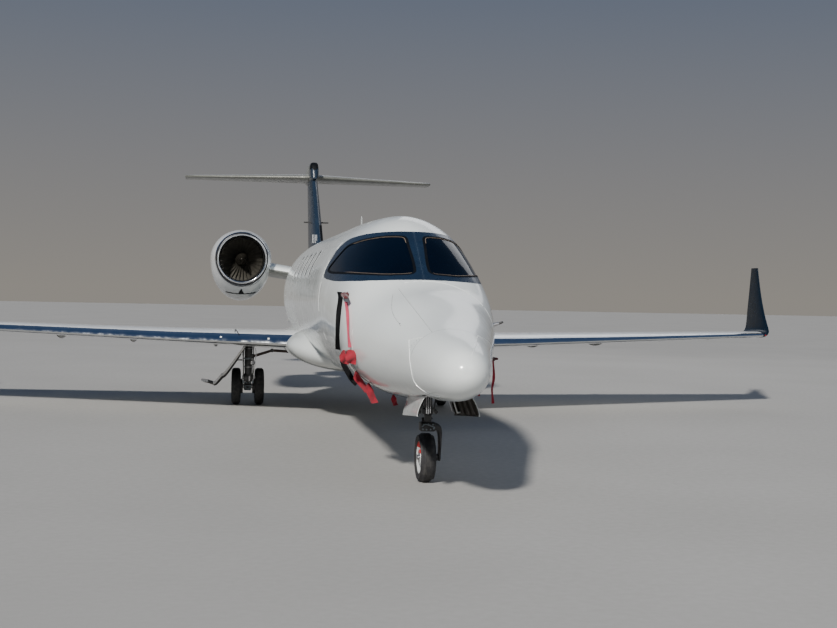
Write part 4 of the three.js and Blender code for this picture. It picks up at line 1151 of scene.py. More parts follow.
# Wing: x, leading edge, height, chord, thickness ratio, lean, incidence, flatness below
WING = [(0.3, 7.565, 1.01, 3.18, 0.13, 0, 1.5, 0.44), (2.5, 8.35, 1.05, 2.4, 0.125, 0, 1, 0.4),
        (7.0, 9.95, 1.178, 1.06, 0.1, 0, 0, 0.95)]
WINGLET = [(7.0003, 9.95, 1.178, 1.06, 0.1, 0), (7.07, 9.985, 1.186, 1.022, 0.1, 28),
           (7.125, 10.035, 1.232, 0.965, 0.09, 62), (7.148, 10.12, 1.31, 0.875, 0.085, 84),
           (7.158, 10.27, 1.5, 0.712, 0.085, 86), (7.172, 10.44, 1.78, 0.525, 0.085, 87),
           (7.195, 10.665, 2.3, 0.265, 0.085, 87)]
FAIRING = [(6.9, 0.42, 0.98, 0.70, 0.86), (7.3, 0.8, 1.18, 0.668, 0.96), (7.8, 0.96, 1.28, 0.655, 1.01),
           (8.6, 0.96, 1.28, 0.655, 1.01), (9.5, 0.96, 1.28, 0.655, 1.01), (10.3, 0.96, 1.28, 0.66, 1.01),
           (11.0, 0.86, 1.23, 0.72, 1.01), (11.8, 0.56, 1.16, 0.88, 1.01)]
AILERON = {"from": 5.05, "to": 6.8, "share": 0.76}
FLAP = {"from": 1.18, "to": 4.95, "share": 0.78, "drop": 0.12, "pods": (1.9, 3.155, 4.246)}
SPOILER = {"from": 2.7, "to": 4.1, "share": 0.6, "wide": 0.29, "thick": 0.02}


def row_at(rows, x):
    table = np.array(rows, float)
    return [np.interp(x, table[:, 0], table[:, k]) for k in range(table.shape[1])]


def wing_point(x, share, rise=0.0):
    _, lead, z, chord, _, _, incidence, _ = row_at(WING, x)
    return place(x, lead + share * chord, z - share * chord * math.sin(math.radians(incidence)) + rise)


def wing_skin(x, share):
    """Point on the wing's top skin."""
    row = row_at(WING, x)
    return wing_point(x, share, half_thickness(row[3], row[4], share))


def solid_body(name, start, end, grow=0.0):
    stations = np.linspace(start, end, int((end - start) / 0.1) + 1)
    return loft(name, body_rings(stations, 96, -grow), "white")


def pod(matrix, along, start, end):
    """Half of a track pod: a rounded trough under the wing."""
    half, nose, tail = 0.024, -0.56, 0.52
    rings = []
    for d in np.linspace(start, end, 14):
        far = d / (nose if d < 0 else tail)
        deep = FLAP["drop"] + 0.016 - 0.12 * far ** 2
        taper = min(abs(far), 1) ** 3
        wide = half * (1 - 0.5 * taper)
        rise = 0.018 - 0.012 * taper if d > 0 else 0.018
        ring = [(along + wide, d, 0.0)]
        for t in np.pi * np.arange(1, 16) / 16:
            ring.append((along + wide * math.cos(t), d, -deep * math.sin(t) ** 0.8))
        ring += [(along - wide, d, 0.0), (along - wide, d, rise), (along + wide, d, rise)]
        rings.append([matrix @ Vector(p) for p in ring])
    # The pod takes the grey of painted shade
    return loft("pod", rings, "under")


def track_pods(matrix, along):
    """The fixed and the moving half of a track pod, each with its half of the flap's hinge."""
    made = []
    for start, end, near, far, low, high, top in ((-0.555, -0.052, -0.02, -0.001, -0.07, -0.03, 0.014),
                                                  (-0.004, 0.5, 0.001, 0.02, -0.03, 0.04, 0.012)):
        ends = [matrix @ Vector((along + dx, -0.03, -FLAP["drop"])) for dx in (near, far)]
        lug = slab(matrix, (along + near, low, -FLAP["drop"] - 0.012),
                   (along + far, high, -FLAP["drop"] + top))
        lug.data.materials.append(looks["steel"])
        made.append([pod(matrix, along, start, end), rod("pin", *ends, 0.016, None, "steel"), lug])
    return made


def make_spoiler(wing):
    """Takes the spoiler off the wing's top, with room below it and around it."""
    thick, wide = SPOILER["thick"], SPOILER["wide"]
    low = Vector((0, 0, thick / 2))
    start, end = (wing_skin(SPOILER[key], SPOILER["share"]) - low for key in ("from", "to"))
    matrix = hinge_frame(start, end)
    length, lead = (end - start).length, thick / 2
    leaf = panel("spoiler", WING, "wing")
    boolean(leaf, slab(matrix, (0, -lead, -0.2), (length, wide, 0.2)), "INTERSECT")
    boolean(leaf, panel("below", WING, None, 0, thick))
    recess = slab(matrix, (-RUN, -lead - RUN, -0.2), (length + RUN, wide + RUN, 0.2))
    boolean(recess, panel("below", WING, None, 0, thick + RUN))
    boolean(wing, recess)
    return leaf


def make_wing():
    whole = panel("wing_skin", WING, "wing", strip="polished")
    body = solid_body("body_cut", 6.5, 12.0, 0.0003)
    boolean(whole, body, sharp=math.radians(50))
    uncut = copy_of(whole, "wing_uncut")
    aileron = split_panel("aileron", whole, WING, AILERON, lambda x, row: wing_point(x, AILERON["share"]),
                          "wing")
    start, end = wing_point(FLAP["from"], FLAP["share"]), wing_point(FLAP["to"], FLAP["share"])
    matrix = hinge_frame(start, end)
    length = (end - start).length
    flap = copy_of(whole, "flap")
    boolean(flap, slab(matrix, (0, 0, -FAR), (length, FAR, FAR)), "INTERSECT")
    boolean(whole, slab(matrix, (-RUN, -RUN, -FAR), (length + RUN, FAR, FAR)))
    fixed_pods, moving_pods = [], []
    for x in FLAP["pods"]:
        fixed, moving = track_pods(matrix, (x - FLAP["from"]) / (FLAP["to"] - FLAP["from"]) * length)
        fixed_pods += fixed
        moving_pods += moving
    leaf = make_spoiler(whole)
    for piece in (whole, flap, aileron, leaf):
        keep_normals(piece, uncut)
    drop(uncut)
    both_sides(join("wing_structure", [whole, *fixed_pods]), "wing_skin", "airframe", "wing")
    both_sides(join("flap_structure", [flap, *moving_pods]), "flap_skin", "flap", "flap")
    both_sides(aileron, "aileron_skin", "aileron", "aileron")
    both_sides(leaf, "spoiler_skin", "spoiler", "spoiler")
    make_winglet()
    stations = np.linspace(FAIRING[0][0], FAIRING[-1][0], 90)
    curve = spline([r[0] for r in FAIRING], [(*r[1:], 2.0, 2.0) for r in FAIRING])
    put(loft("belly_fairing", ovals(curve(stations), stations, 120), "white"), "airframe", ["wing_fairing"])


def make_winglet():
    rows = np.array(WINGLET)
    run = np.r_[0, np.cumsum(np.hypot(np.diff(rows[:, 0]), np.diff(rows[:, 2])))]
    samples = np.unique(np.r_[np.linspace(0, run[3], 22), np.linspace(run[3], run[-1], 16)])
    values = [(*r, 0.0, 1.0) for r in spline(run, rows)(samples)]
    blade = loft("winglet_blade", panel_rings(values, split=9), "tip", sharp=math.radians(50))
    both_sides(blade, "winglet_blade", "airframe", "winglet")


# Tail

# Fin: height, leading edge, chord, thickness ratio
FIN = [(2.12, 13.65, 2.88, 0.1), (2.5, 13.98, 2.62, 0.1), (3.968, 15.567, 1.694, 0.1)]
RUDDER = {"from": 2.47, "to": 3.79, "share": 0.7}
STABILIZER = [(0, 15.9, 4.05, 1.45, 0.11, 0, 0, 1), (2.56, 16.84, 4.07, 0.84, 0.09, 0, 0, 1)]
ELEVATOR = {"from": 0.26, "to": 2.44, "share": 0.7}
# Sections of the cap on the fin: station, then as the fuselage
CAP = [(15.48, 0.03, 4.01, 3.985, 3.995, 2, 2), (15.54, 0.068, 4.19, 3.968, 4.01, 2, 3),
       (15.62, 0.082, 4.30, 3.962, 4.04, 2, 4), (15.74, 0.086, 4.328, 3.962, 4.06, 2.1, 4.4),
       (15.95, 0.092, 4.337, 3.962, 4.07, 2.1, 4.4), (16.6, 0.112, 4.31, 3.962, 4.07, 2.1, 3),
       (17.2, 0.08, 4.205, 3.97, 4.07, 2, 2.2), (17.55, 0.022, 4.11, 4.03, 4.07, 2, 2)]
# Fin under the tail: distance out from its root, leading edge, chord, thickness ratio
VENTRAL = [(0, 14.15, 2.05, 0.045), (0.62, 15.25, 0.9, 0.045)]
VENTRAL_ROOT = {"x": 0.12, "z": 1.64, "lean": 55}


def fin_rings(rows):
    rings = []
    for z, lead, chord, ratio in rows:
        section = foil(chord, ratio)
        rings.append(np.c_[section[:, 1], lead + section[:, 0] - HALF, np.full(len(section), z)])
    return subdivided(rings, 0.2)


def make_fin_cap():
    stations = np.r_[15.48, 15.49, 15.51, 15.53, np.linspace(15.55, 17.25, 60), 17.35, 17.45, 17.52, 17.55]
    cap_curve = spline([r[0] for r in CAP], [r[1:] for r in CAP])
    cap = loft("fin_cap_shell", ovals(cap_curve(stations), stations, 64), "navy")
    for look in ("jet", "under"):
        cap.data.materials.append(looks[look])
    # Front top faces take jet black; aft side faces take the grey of painted shade
    for face in cap.data.polygons:
        at, front = face.center, face.center.y < 15.82 - HALF
        if at.z > 4.18 and (front or at.z > 4.32):
            face.material_index = 1
        elif not front and abs(face.normal.x) > 0.5:
            face.material_index = 2
    return cap


def make_tail():
    cap = make_fin_cap()
    fin = loft("fin_skin", fin_rings(FIN), "navy", sharp=math.radians(50))
    boolean(fin, solid_body("body_cut", 12.5, 16.1, 0.0003))
    boolean(fin, copy_of(cap, "cap_cut"))
    uncut = copy_of(fin, "fin_uncut")
    rows = [(z, lead, z, chord, ratio) for z, lead, chord, ratio in FIN]
    hinge = lambda z, row: place(0, row[1] + RUDDER["share"] * row[3], z)
    rudder = split_panel("rudder_skin", fin, rows, RUDDER, hinge, "navy")
    for piece in (fin, rudder):
        keep_normals(piece, uncut)
    drop(uncut)
    put(fin, "airframe", ["fin"])
    put(rudder, "rudder", ["rudder"])
    put(cap, "airframe", ["fin_cap"])
    make_stabilizer(cap)
    make_ventral()


def make_stabilizer(cap):
    half = panel("stabilizer_skin", STABILIZER, "tail", strip="edge")
    shadow_side(half, 2)
    clean = copy_of(half, "stabilizer_clean")
    boolean(half, slab(Matrix(), (0.001, 0, 3), (3, HALF, 5)), "INTERSECT")
    boolean(half, copy_of(cap, "cap_cut"))
    hinge = lambda x, row: place(x, row[1] + ELEVATOR["share"] * row[3], row[2])
    elevator = split_panel("elevator_skin", half, STABILIZER, ELEVATOR, hinge, "tail")
    for piece in (half, elevator):
        keep_normals(piece, clean)
    drop(clean)
    both_sides(half, "stabilizer_skin", "airframe", "stabilizer")
    both_sides(elevator, "elevator_skin", "elevator", "elevator")


def make_ventral():
    lean = math.radians(VENTRAL_ROOT["lean"])
    rings = []
    for out, lead, chord, ratio in VENTRAL:
        s = foil(chord, ratio)
        x = VENTRAL_ROOT["x"] + out * math.cos(lean) + s[:, 1] * math.sin(lean)
        z = VENTRAL_ROOT["z"] - out * math.sin(lean) + s[:, 1] * math.cos(lean)
        rings.append(np.c_[x, lead + s[:, 0] - HALF, z])
    ventral = loft("ventral_skin", subdivided(rings, 0.15), "white", sharp=math.radians(50))
    boolean(ventral, solid_body("body_cut", 12.5, 16.1))
    both_sides(ventral, "ventral_skin", "airframe", "ventral_fin")


# Engines

ENGINE = Vector((1.515, 10.82 - HALF, 2.255))
# Engine: distance aft of the lip, half width, top, bottom and middle of the nacelle; distance and radius of
# the duct
NACELLE = [(0.06, 0.432, 0.430, -0.460, 0), (0.3, 0.474, 0.462, -0.580, 0), (0.8, 0.502, 0.490, -0.678, 0),
           (1.5, 0.492, 0.482, -0.655, 0), (2.1, 0.442, 0.432, -0.540, 0), (2.7, 0.362, 0.360, -0.378, 0)]
DUCT = [(0.04, 0.362), (0.11, 0.350), (0.3, 0.356), (0.7, 0.356), (1.5, 0.340), (2.1, 0.330), (2.7, 0.345)]

# Radius and distance of the spinner's, the mixer's and the core's outline
SPINNER = [(0.0002, -0.30), (0.009, -0.296), (0.024, -0.27), (0.055, -0.19), (0.085, -0.10), (0.104, -0.03),
           (0.115, 0.05), (0.115, 0.09), (0.06, 0.092), (0.06, 0.155), (0.0002, 0.156)]


MIXER = [(0.268, 1.15), (0.272, 1.15), (0.262, 1.62), (0.25, 1.86), (0.247, 1.86), (0.258, 1.62),
         (0.268, 1.15)]
CORE = [(0.15, 0), (0.25, 0.06), (0.262, 0.3), (0.262, 1.1), (0.215, 1.6), (0.12, 2.05), (0.04, 2.28)]

PYLON = [(0.42, 10.95, 2.005, 2.45, 0.09, 0, 0, 1), (1.25, 11.12, 2.13, 2.15, 0.115, 0, 0, 1)]

# Distances of the core and its vanes aft of the lip, and the radius of the lip's crown
CORE_AT = 0.56

VANES_AT = 0.66

LIP = 0.388
FAN_AT = 0.4
BLADES = 32


def circle(radius, s, count):
    a = circle_angles(count)
    return np.c_[radius * np.cos(a), np.full(count, s), radius * np.sin(a)]


def nacelle_rings(count):
    """Rings from the lip's crown aft over the outside and back through the duct, with the place of each
    part."""
    outer = spline([r[0] for r in NACELLE], [r[1:] for r in NACELLE])
    half, top, bottom, _ = outer(0.06)[0]
    marks, rings = [], []
    for t in np.linspace(0, 1, 9)[:-1]:
        k = math.sin(t * math.pi / 2)
        values = [LIP + (half - LIP) * k, LIP + (top - LIP) * k, -LIP + (bottom + LIP) * k, 0, 2, 2]
        rings += ovals([values], [0.06 * (1 - math.cos(t * math.pi / 2)) + HALF], count)
        marks.append("band" if 0.2 < t < 0.4 else "lip")
    stations = np.r_[0.06, 0.075, np.linspace(0.1, 2.7, 48)]
    for s, v in zip(stations, outer(stations)):
        rings += ovals([(*v, 2, 2)], [s + HALF], count)
        marks.append("lip" if s < 0.075 else "cowl")
    inner = spline([d[0] for d in DUCT], [(d[1],) for d in DUCT])
    for s in np.r_[np.linspace(2.7, 0.15, 40), 0.11, 0.07, 0.04]:
        rings.append(circle(float(inner(s)[0][0]), s, count))
        marks.append("lip" if s < 0.1 else "duct")
    for t in np.linspace(1, 0, 8)[1:-1]:
        round_lip = t * math.pi / 2
        rings.append(circle(LIP - 0.026 * math.sin(round_lip), 0.04 * (1 - math.cos(round_lip)), count))
        marks.append("lip")
    return [r + np.array(ENGINE) for r in rings], marks


def on_axis(obj, distance, turn=None):
    """Moves a piece onto the engine's axis: turned about it, or with its own Z axis laid along it."""
    if turn is None:
        turned_by = Matrix.Rotation(-math.pi / 2, 4, "X")
    else:
        turned_by = Matrix.Rotation(turn, 4, "Y")
    return moved(obj, Matrix.Translation(ENGINE + Vector((0, distance, 0))) @ turned_by)


def make_engines():
    count = 96
    rings, marks = nacelle_rings(count)
    cowl = loft("nacelle_cowl", rings, "nacelle", closed=True, sharp=math.radians(45))
    for look in ("polished", "duct", "band"):
        cowl.data.materials.append(looks[look])
    for face in cowl.data.polygons:
        pair = {marks[v // count] for v in face.vertices}
        face.material_index = 3 if "band" in pair else 2 if "duct" in pair else int("cowl" not in pair)
    both_sides(cowl, "nacelle_cowl", "airframe", "nacelle")
    both_sides(fan_pieces(), "fan_rotor", "fan", "fan")
    both_sides(engine_inside(), "engine_inside", "airframe", "engine_core")

    pylon = panel("pylon_skin", PYLON, "white")
    shadow_side(pylon, 1, 0.05)
    boolean(pylon, solid_body("body_cut", 10, 14.5, 0.0003))
    outer = [r for r, m in zip(rings, marks) if m != "duct"][:58]
    boolean(pylon, loft("cowl_cut", outer, None))
    both_sides(pylon, "pylon_skin", "airframe", "pylon")


def engine_inside():
    """The core with its vanes, struts and lobed mixer."""
    parts = [on_axis(turned("core", CORE, "hot", 64), CORE_AT)]
    for i in range(24):
        vane = vane_blade(0.256, 0.352, 0.12, 0.006, 0.2, "titanium")
        parts.append(on_axis(vane, VANES_AT, 2 * math.pi * (i + 0.5) / 24))
    mixer = turned("mixer", MIXER, "hot", 96)
    for v in mixer.data.vertices:
        s = (v.co.z - 1.4) / 0.46
        if s > 0:
            k = 1 + 0.17 * s * math.cos(12 * math.atan2(v.co.y, v.co.x))
            v.co.x, v.co.y = v.co.x * k, v.co.y * k
    parts.append(on_axis(mixer, CORE_AT))
    for i in range(6):
        strut = box("strut", (-0.007, 0.12, 0.1), (0.007, 0.28, 0.347), "titanium", 0.004)
        parts.append(on_axis(strut, CORE_AT, 2 * math.pi * i / 6))
    return join("engine_inside", parts)


def vane_blade(r0, r1, chord, thick, twist, material, twist_end=None):
    """A blade standing out along Z from r0 to r1, its chord near the Y axis, twisted about Z."""
    twist_end = twist if twist_end is None else twist_end
    rings = []
    for t in np.linspace(0, 1, 6):
        a = twist + (twist_end - twist) * t
        w, r = chord * (1 - 0.1 * t), r0 + (r1 - r0) * t
        ring = []
        for u in circle_angles(12):
            c, h = -math.cos(u) * w / 2, math.sin(u) * thick / 2 * (1 - 0.5 * t)
            bend = 0.08 * w * (1 - (2 * c / w) ** 2)
            ring.append(((h + bend) * math.cos(a) - c * math.sin(a),
                         (h + bend) * math.sin(a) + c * math.cos(a), r))
        rings.append(ring)
    return loft("blade", rings, material)


def fan_pieces():
    parts = [on_axis(turned("spinner", SPINNER, "spinner", 48), FAN_AT)]
    for i in range(BLADES):
        blade = vane_blade(0.105, 0.346, 0.082, 0.007, math.radians(22), "blade", math.radians(60))
        parts.append(on_axis(blade, FAN_AT + 0.035, 2 * math.pi * i / BLADES))
    return join("fan_rotor", parts)


# Landing gear

NOSE = {"leg": 1.8, "axle": 1.9, "radius": 0.2285, "width": 0.128}
MAIN = {"x": 1.42, "leg": 9.6, "pivot": 0.43, "axle": 9.85, "radius": 0.2795, "width": 0.138, "apart": 0.35}

# Wheel: the tread's grooves as shares of the half width, and the sidewall's outline from the rim to the
# tread as shares of the radius and the half width
GROOVES = (-0.36, -0.12, 0.12, 0.36)

SIDEWALL = [(0.66, 0.97), (0.8, 1), (0.86, 0.96), (0.9, 0.93), (0.92, 0.87), (0.95, 0.77), (0.988, 0.58)]

# The rim's outline from its bead to the hub, as shares of its radius and the half width
RIM = [(0.86, -0.62), (0.8, -0.5), (0.5, -0.42)]


def wheel(name, radius, width, hub, chine=0.0):
    """Tyre with grooves and a bead, rim with bolts and holes: turned about the X axis at the origin."""
    w, rim = width / 2, radius * (0.70 if chine else 0.57)
    groove = 0.004
    tread = []
    for x in GROOVES:
        tread += [(radius, w * (x - 0.05)), (radius - groove, w * (x - 0.045)),
                  (radius - groove, w * (x + 0.045)),
                  (radius, w * (x + 0.05))]
    side = [(rim, w * 0.80), (rim + 0.006, w * 0.88)]
    side += [(radius * r, w * x + (chine if r in (0.86, 0.9) else 0)) for r, x in SIDEWALL]
    profile = [(rim - 0.004, -w * 0.7)] + [(r, -x) for r, x in side] + tread + side[::-1]
    profile += [(rim - 0.004, w * 0.7), (rim - 0.004, -w * 0.7)]
    parts = [turned(f"{name}_tyre", profile, "tyre", 96, math.radians(28)),
             wheel_rim(name, rim, w, hub, chine)]
    for a in circle_angles(8):
        at = (rim * 0.6 * math.cos(a), rim * 0.6 * math.sin(a))
        for s in (-1, 1):
            parts.append(rod("bolt", (*at, s * w * 0.36), (*at, s * w * 0.52), 0.007, None, "steel", 6))
    for s in (-1, 1):
        ends = (0, 0, s * hub * 0.3), (0, 0, s * (hub + 0.004))
        parts.append(rod("cap", *ends, rim * 0.3, rim * 0.24, "steel", 32))
    return moved(join(name, parts), Matrix.Rotation(math.pi / 2, 4, "Y"))


def wheel_rim(name, rim, w, hub, painted):
    outer = [(rim - 0.003, -w * 0.7), (rim + 0.005, -w * 0.82), (rim + 0.004, -w * 0.9),
             (rim - 0.012, -w * 0.88)]
    outer += [(rim * r, w * x) for r, x in RIM] + [(rim * 0.44, -hub), (rim * 0.3, -hub)]
    disc = turned(f"{name}_rim", outer + [(r, -x) for r, x in outer[::-1]] + [outer[0]], "gear", 72)
    holes = []
    for a in circle_angles(8) + math.pi / 8:
        at = (rim * 0.66 * math.cos(a), rim * 0.66 * math.sin(a))
        holes.append(rod("hole", (*at, -w), (*at, w), rim * 0.1, None, None, 20, 0.0001))
    boolean(disc, join("holes", holes))
    if painted:
        disc.data.materials.append(looks["red_paint"])
        for face in disc.data.polygons:
            at = face.center
            if math.hypot(at.x, at.y) > rim * 0.35 and abs(math.atan2(at.y, -at.x)) < 1.0:
                face.material_index = len(disc.data.materials) - 1
    return disc


# Bars of the nose leg from a point on the ground below it: name, start, end, radius, look and number of faces
NOSE_LEG = [
    ("cylinder", (0, 0, 0.70), (0, 0, 1.10), 0.04, "dark_gear", 40),
    ("collar", (0, 0, 0.64), (0, 0, 0.70), 0.052, "dark_gear", 40),
    ("gland", (0, 0, 0.86), (0, 0, 0.9), 0.05, "steel", 40),
    ("trunnion", (-0.2, 0, 1.06), (0.2, 0, 1.06), 0.03, "dark_gear", 32),
    ("brace", (0, 0, 0.93), (0, -0.51, 1.09), 0.018, "gear", 24),
    ("brace_pin", (-0.06, -0.51, 1.09), (0.06, -0.51, 1.09), 0.022, "steel", 24),
    ("actuator", (0.09, -0.02, 0.95), (0.09, -0.44, 1.08), 0.014, "chrome", 20),
    ("actuator_body", (0.09, -0.22, 0.985), (0.09, -0.44, 1.08), 0.022, "dark_gear", 24),
    ("actuator_lug", (0.02, -0.02, 0.95), (0.11, -0.02, 0.95), 0.018, "dark_gear", 24)]


STEERING = [("steering", (0.078, 0, 0.66), (0.078, 0.13, 0.67), 0.018, "dark_gear", 24),
            ("steering_lug", (0.04, 0.02, 0.66), (0.085, 0.02, 0.66), 0.012, "steel", 16)]


NOSE_HOSE = [(0.006, "hose",
              [(0.05, -0.03, 0.69), (0.06, -0.04, 0.78), (0.052, -0.04, 0.92), (0.06, -0.02, 1.08)])]


NOSE_PIPES = [(0.005, "chrome", [(x, -0.050, low), (x, -0.056, low + 0.05), (x, -0.048, high)])
              for x, low, high in ((-0.022, 0.652, 0.82), (-0.006, 0.648, 0.86), (0.012, 0.655, 0.80))]


FORK_HOSE = [(0.0055, "alloy",
              [(-0.06, -0.05, 0.53), (-0.03, -0.066, 0.555), (0.02, -0.068, 0.54), (0.06, -0.05, 0.522)])]


FORK_BOLTS = ((-0.052, 0.508), (-0.018, 0.503), (0.02, 0.505), (0.05, 0.513), (-0.045, 0.548), (0, 0.553),
              (0.042, 0.55))


# Bars on the nose axle, from its middle
NOSE_AXLE = [("axle", (-0.068, 0, 0), (0.146, 0, 0), 0.02, "steel", 32),
             ("spacer", (0.072, 0, 0), (0.120, 0, 0), 0.032, "dark_gear", 32),
             ("nut", (-0.079, 0, 0), (-0.068, 0, 0), (0.030, 0.026), "steel", 6),
             ("arm_nut", (0.140, 0, 0), (0.152, 0, 0), (0.026, 0.022), "steel", 6)]


def make_nose_gear():
    foot = place(0, NOSE["leg"], 0)
    axle = place(0, NOSE["axle"], NOSE["radius"])
    at = lambda x, y, z: foot + Vector((x, y, z))
    parts = rods(NOSE_LEG, foot) + rods(STEERING, foot, (-1, 1)) + tubes(NOSE_HOSE, foot,
                                                                         (-1, 1)) + tubes(NOSE_PIPES, foot)
    put(join("nose_leg", parts), "airframe", ["nose_gear_leg"])

    fork = rods([("piston", (0, 0, 0.535), (0, 0, 0.639), 0.035, "dark_gear", 40)], foot)
    fork.append(box("crown", at(-0.076, -0.048, 0.484), at(0.07, 0.060, 0.572), "dark_gear", 0.018, 4))
    fork += rods([("bolt", (x, -0.058, z), (x, -0.044, z), 0.008, "alloy", 6) for x, z in FORK_BOLTS], foot)
    fork += tubes(FORK_HOSE, foot) + rods(NOSE_AXLE, axle)
    fork.append(fork_arm())
    fork.append(torque_link(at(0, 0.035, 0.60), at(0, 0.15, 0.566), 0.052, 0.03))
    fork.append(torque_link(at(0, 0.15, 0.562), at(0, 0.05, 0.522), 0.03, 0.052))
    put(join("nose_fork_assembly", fork), "nose_steering", ["nose_fork"])

    tyre = wheel("nose_tyre", NOSE["radius"], NOSE["width"], 0.058, 0.011)
    put(moved(tyre, Matrix.Translation(axle)), "nose_wheel", ["nose_wheel"])
    make_nose_doors()


# Fork arm: across, station, height, half thickness across, half depth along the body
ARM = [(0.03, 1.806, 0.528, 0.040, 0.050), (0.075, 1.812, 0.526, 0.036, 0.050),
       (0.108, 1.825, 0.502, 0.028, 0.048),
       (0.124, 1.846, 0.445, 0.019, 0.045), (0.130, 1.872, 0.36, 0.0145, 0.042),
       (0.132, 1.893, 0.285, 0.0125, 0.040),
       (0.132, 1.900, 0.228, 0.0125, 0.036), (0.132, 1.900, 0.196, 0.010, 0.022)]


def fork_arm():
    """The fork's one arm: flattened oval sections along a path over the tyre and down its left side."""
    path = spline(range(len(ARM)), ARM)(np.linspace(0, len(ARM) - 1, 43))
    rings = []
    for i, (x, station, z, thin, deep) in enumerate(path):
        a, b = path[max(i - 1, 0)], path[min(i + 1, len(path) - 1)]
        ahead = Vector((b[0] - a[0], 0, b[2] - a[2])).normalized()
        out = Vector((-ahead.z, 0, ahead.x))
        ring = []
        for u in circle_angles(24):
            c, s = (math.copysign(abs(v) ** 0.6, v) for v in (math.cos(u), math.sin(u)))
            ring.append(place(x, station, z) + out * thin * c + Vector((0, deep * s, 0)))
        rings.append(ring)
    return loft("arm", rings, "dark_gear")


def torque_link(start, end, wide0, wide1):
    """A flat tapered link between two pins."""
    across = Vector((1, 0, 0))
    up = across.cross((end - start).normalized()) * 0.009
    points = [at + across * dx * w + up * du for at, w in ((start, wide0), (end, wide1)) for dx, du in SQUARE]
    return rounded(outward(mesh_object("link", points, ring_faces(2, 4), "dark_gear")), 0.004)


# Nose gear door: its ends, the hinge's and the inner edge's distance from the centreline, thickness and
# opening angle
NOSE_DOOR = {"first": 0.79, "last": 1.742, "hinge": 0.192, "edge": 0.014, "thick": 0.016, "open": 100}


def belly(x, station, rise=0.0):
    """Point at a height over the skin of the fuselage's underside."""
    return place(x, station, top_z(station, x, True) + rise)


def make_nose_doors():
    first, last, hinge, thick = (NOSE_DOOR[k] for k in ("first", "last", "hinge", "thick"))
    rows = np.linspace(NOSE_DOOR["edge"], hinge, 14)
    deep = [thick] + [thick * 0.35] * (len(rows) - 2) + [thick]
    rings = []
    for s in np.linspace(first, last, 50):
        rings.append([belly(x, s) for x in rows] + [belly(x, s, d) for x, d in zip(rows, deep)][::-1])
    leaf = loft("door_leaf", rings, "white", sharp=math.radians(40))
    # Inner faces take the near black of painted shade
    leaf.data.materials.append(looks["inside"])
    for face in leaf.data.polygons:
        if face.normal.z > 0.4:
            face.material_index = 1
    start = place(hinge, 0.7612, top_z(0.76, hinge, True) + 0.007)
    end = belly(hinge, last, 0.007)
    parts = [leaf, rod("tube", start, end, 0.007, None, "steel", 20)]
    for s in (0.86, 1.08, 1.3, 1.52, 1.66):
        rib = [Vector((x, top_z(s, x, True) + 0.005)) for x in rows[1:-1]]
        top = [p + Vector((0, 0.014 + 0.012 * math.sin(math.pi * i / 11))) for i, p in enumerate(rib[::-1])]
        top.insert(0, rib[-1] + Vector((0, 0.02)))
        parts.append(prism("rib", rib + top, Matrix.Translation((0, s - HALF, 0)) @ FROM_FRONT, 0.004,
                           "inside"))
    for s, near, far, look in ((1.5, 0.16, 0.045, "gear"), (1.68, 0.165, 0.06, "steel")):
        ends = [belly(x, s, 0.036) for x in (near, far)]
        parts.append(rod("bracket", *ends, 0.007, None, look, 16))
        for p in ends:
            parts += rods([("foot", (0, 0, -0.03), (0, 0, 0.004), 0.008, look, 12)], p)
    door = join("nose_door", parts)
    for v in door.data.vertices:
        v.co.x -= 0.012 * min(max((last - HALF - v.co.y) / (last - first), 0), 1)
    turn = Matrix.Rotation(-math.radians(NOSE_DOOR["open"]), 4, (end - start).normalized())
    moved(door, Matrix.Translation(start) @ turn @ Matrix.Translation(-start))
    both_sides(door, "nose_door_leaf", "nose_door", "nose_gear_door")


# Bars of the main leg from a point on the ground below it, columns as for the nose leg with a rounding at
# the end
MAIN_LEG = [
    ("post", (0, 0, 0.46), (0, 0, 1.03), (0.055, 0.062), "dark_gear", 40),
    ("band", (0, 0, 0.70), (0, 0, 0.735), 0.066, "alloy", 40),
    ("clip", (0, 0, 0.58), (0, 0, 0.598), 0.066, "steel", 40),
    ("clip", (0, 0, 0.86), (0, 0, 0.878), 0.066, "steel", 40),
    ("knee", (-0.07, 0, 0.43), (0.07, 0, 0.43), 0.058, "dark_gear", 40),
    ("knee_pin", (-0.08, 0, 0.43), (0.08, 0, 0.43), 0.022, "steel", 24),
    ("unit", (-0.05, -0.062, 0.618), (-0.05, -0.062, 0.70), 0.042, "steel", 36, 0.018),
    ("unit_cap", (-0.05, -0.062, 0.698), (-0.05, -0.062, 0.722), 0.018, "steel", 24),
    ("shock", (0, 0.064, 0.80), (0, 0.14, 0.52), 0.034, "gear", 36),
    ("piston", (0, 0.13, 0.55), (0, 0.20, 0.3395), 0.022, "chrome", 32),
    ("shock_top", (-0.045, 0.06, 0.805), (0.045, 0.06, 0.805), 0.03, "dark_gear", 28),
    ("shock_lug", (0, 0, 0.815), (0, 0.06, 0.805), 0.026, "dark_gear", 28),
    ("brace", (-0.04, -0.02, 0.742), (-0.351, -0.04, 0.843), (0.022, 0.020), "maroon_metal", 28),
    ("brace_inner", (-0.351, -0.04, 0.843), (-0.62, -0.04, 0.829), 0.021, "maroon_metal", 28),
    ("brace_knee", (-0.351, -0.072, 0.843), (-0.351, -0.008, 0.843), 0.028, "dark_gear", 28),
    ("brace_lug", (-0.045, -0.02, 0.70), (-0.045, -0.02, 0.785), 0.032, "dark_gear", 28),
    ("centre", (-0.013, -0.065, 0.375), (-0.013, -0.060, 0.455), 0.017, "chrome", 20),
    ("bar", (-0.05, 0.045, 0.345), (0.05, 0.045, 0.345), 0.009, "alloy", 16),
    ("bar", (-0.045, 0.045, 0.30), (0.045, 0.045, 0.30), 0.009, "alloy", 16)]


CALIPER_PIN = [("caliper_pin", (0.072, 0.045, 0.39), (0.072, 0.06, 0.39), 0.012, "chrome", 16)]

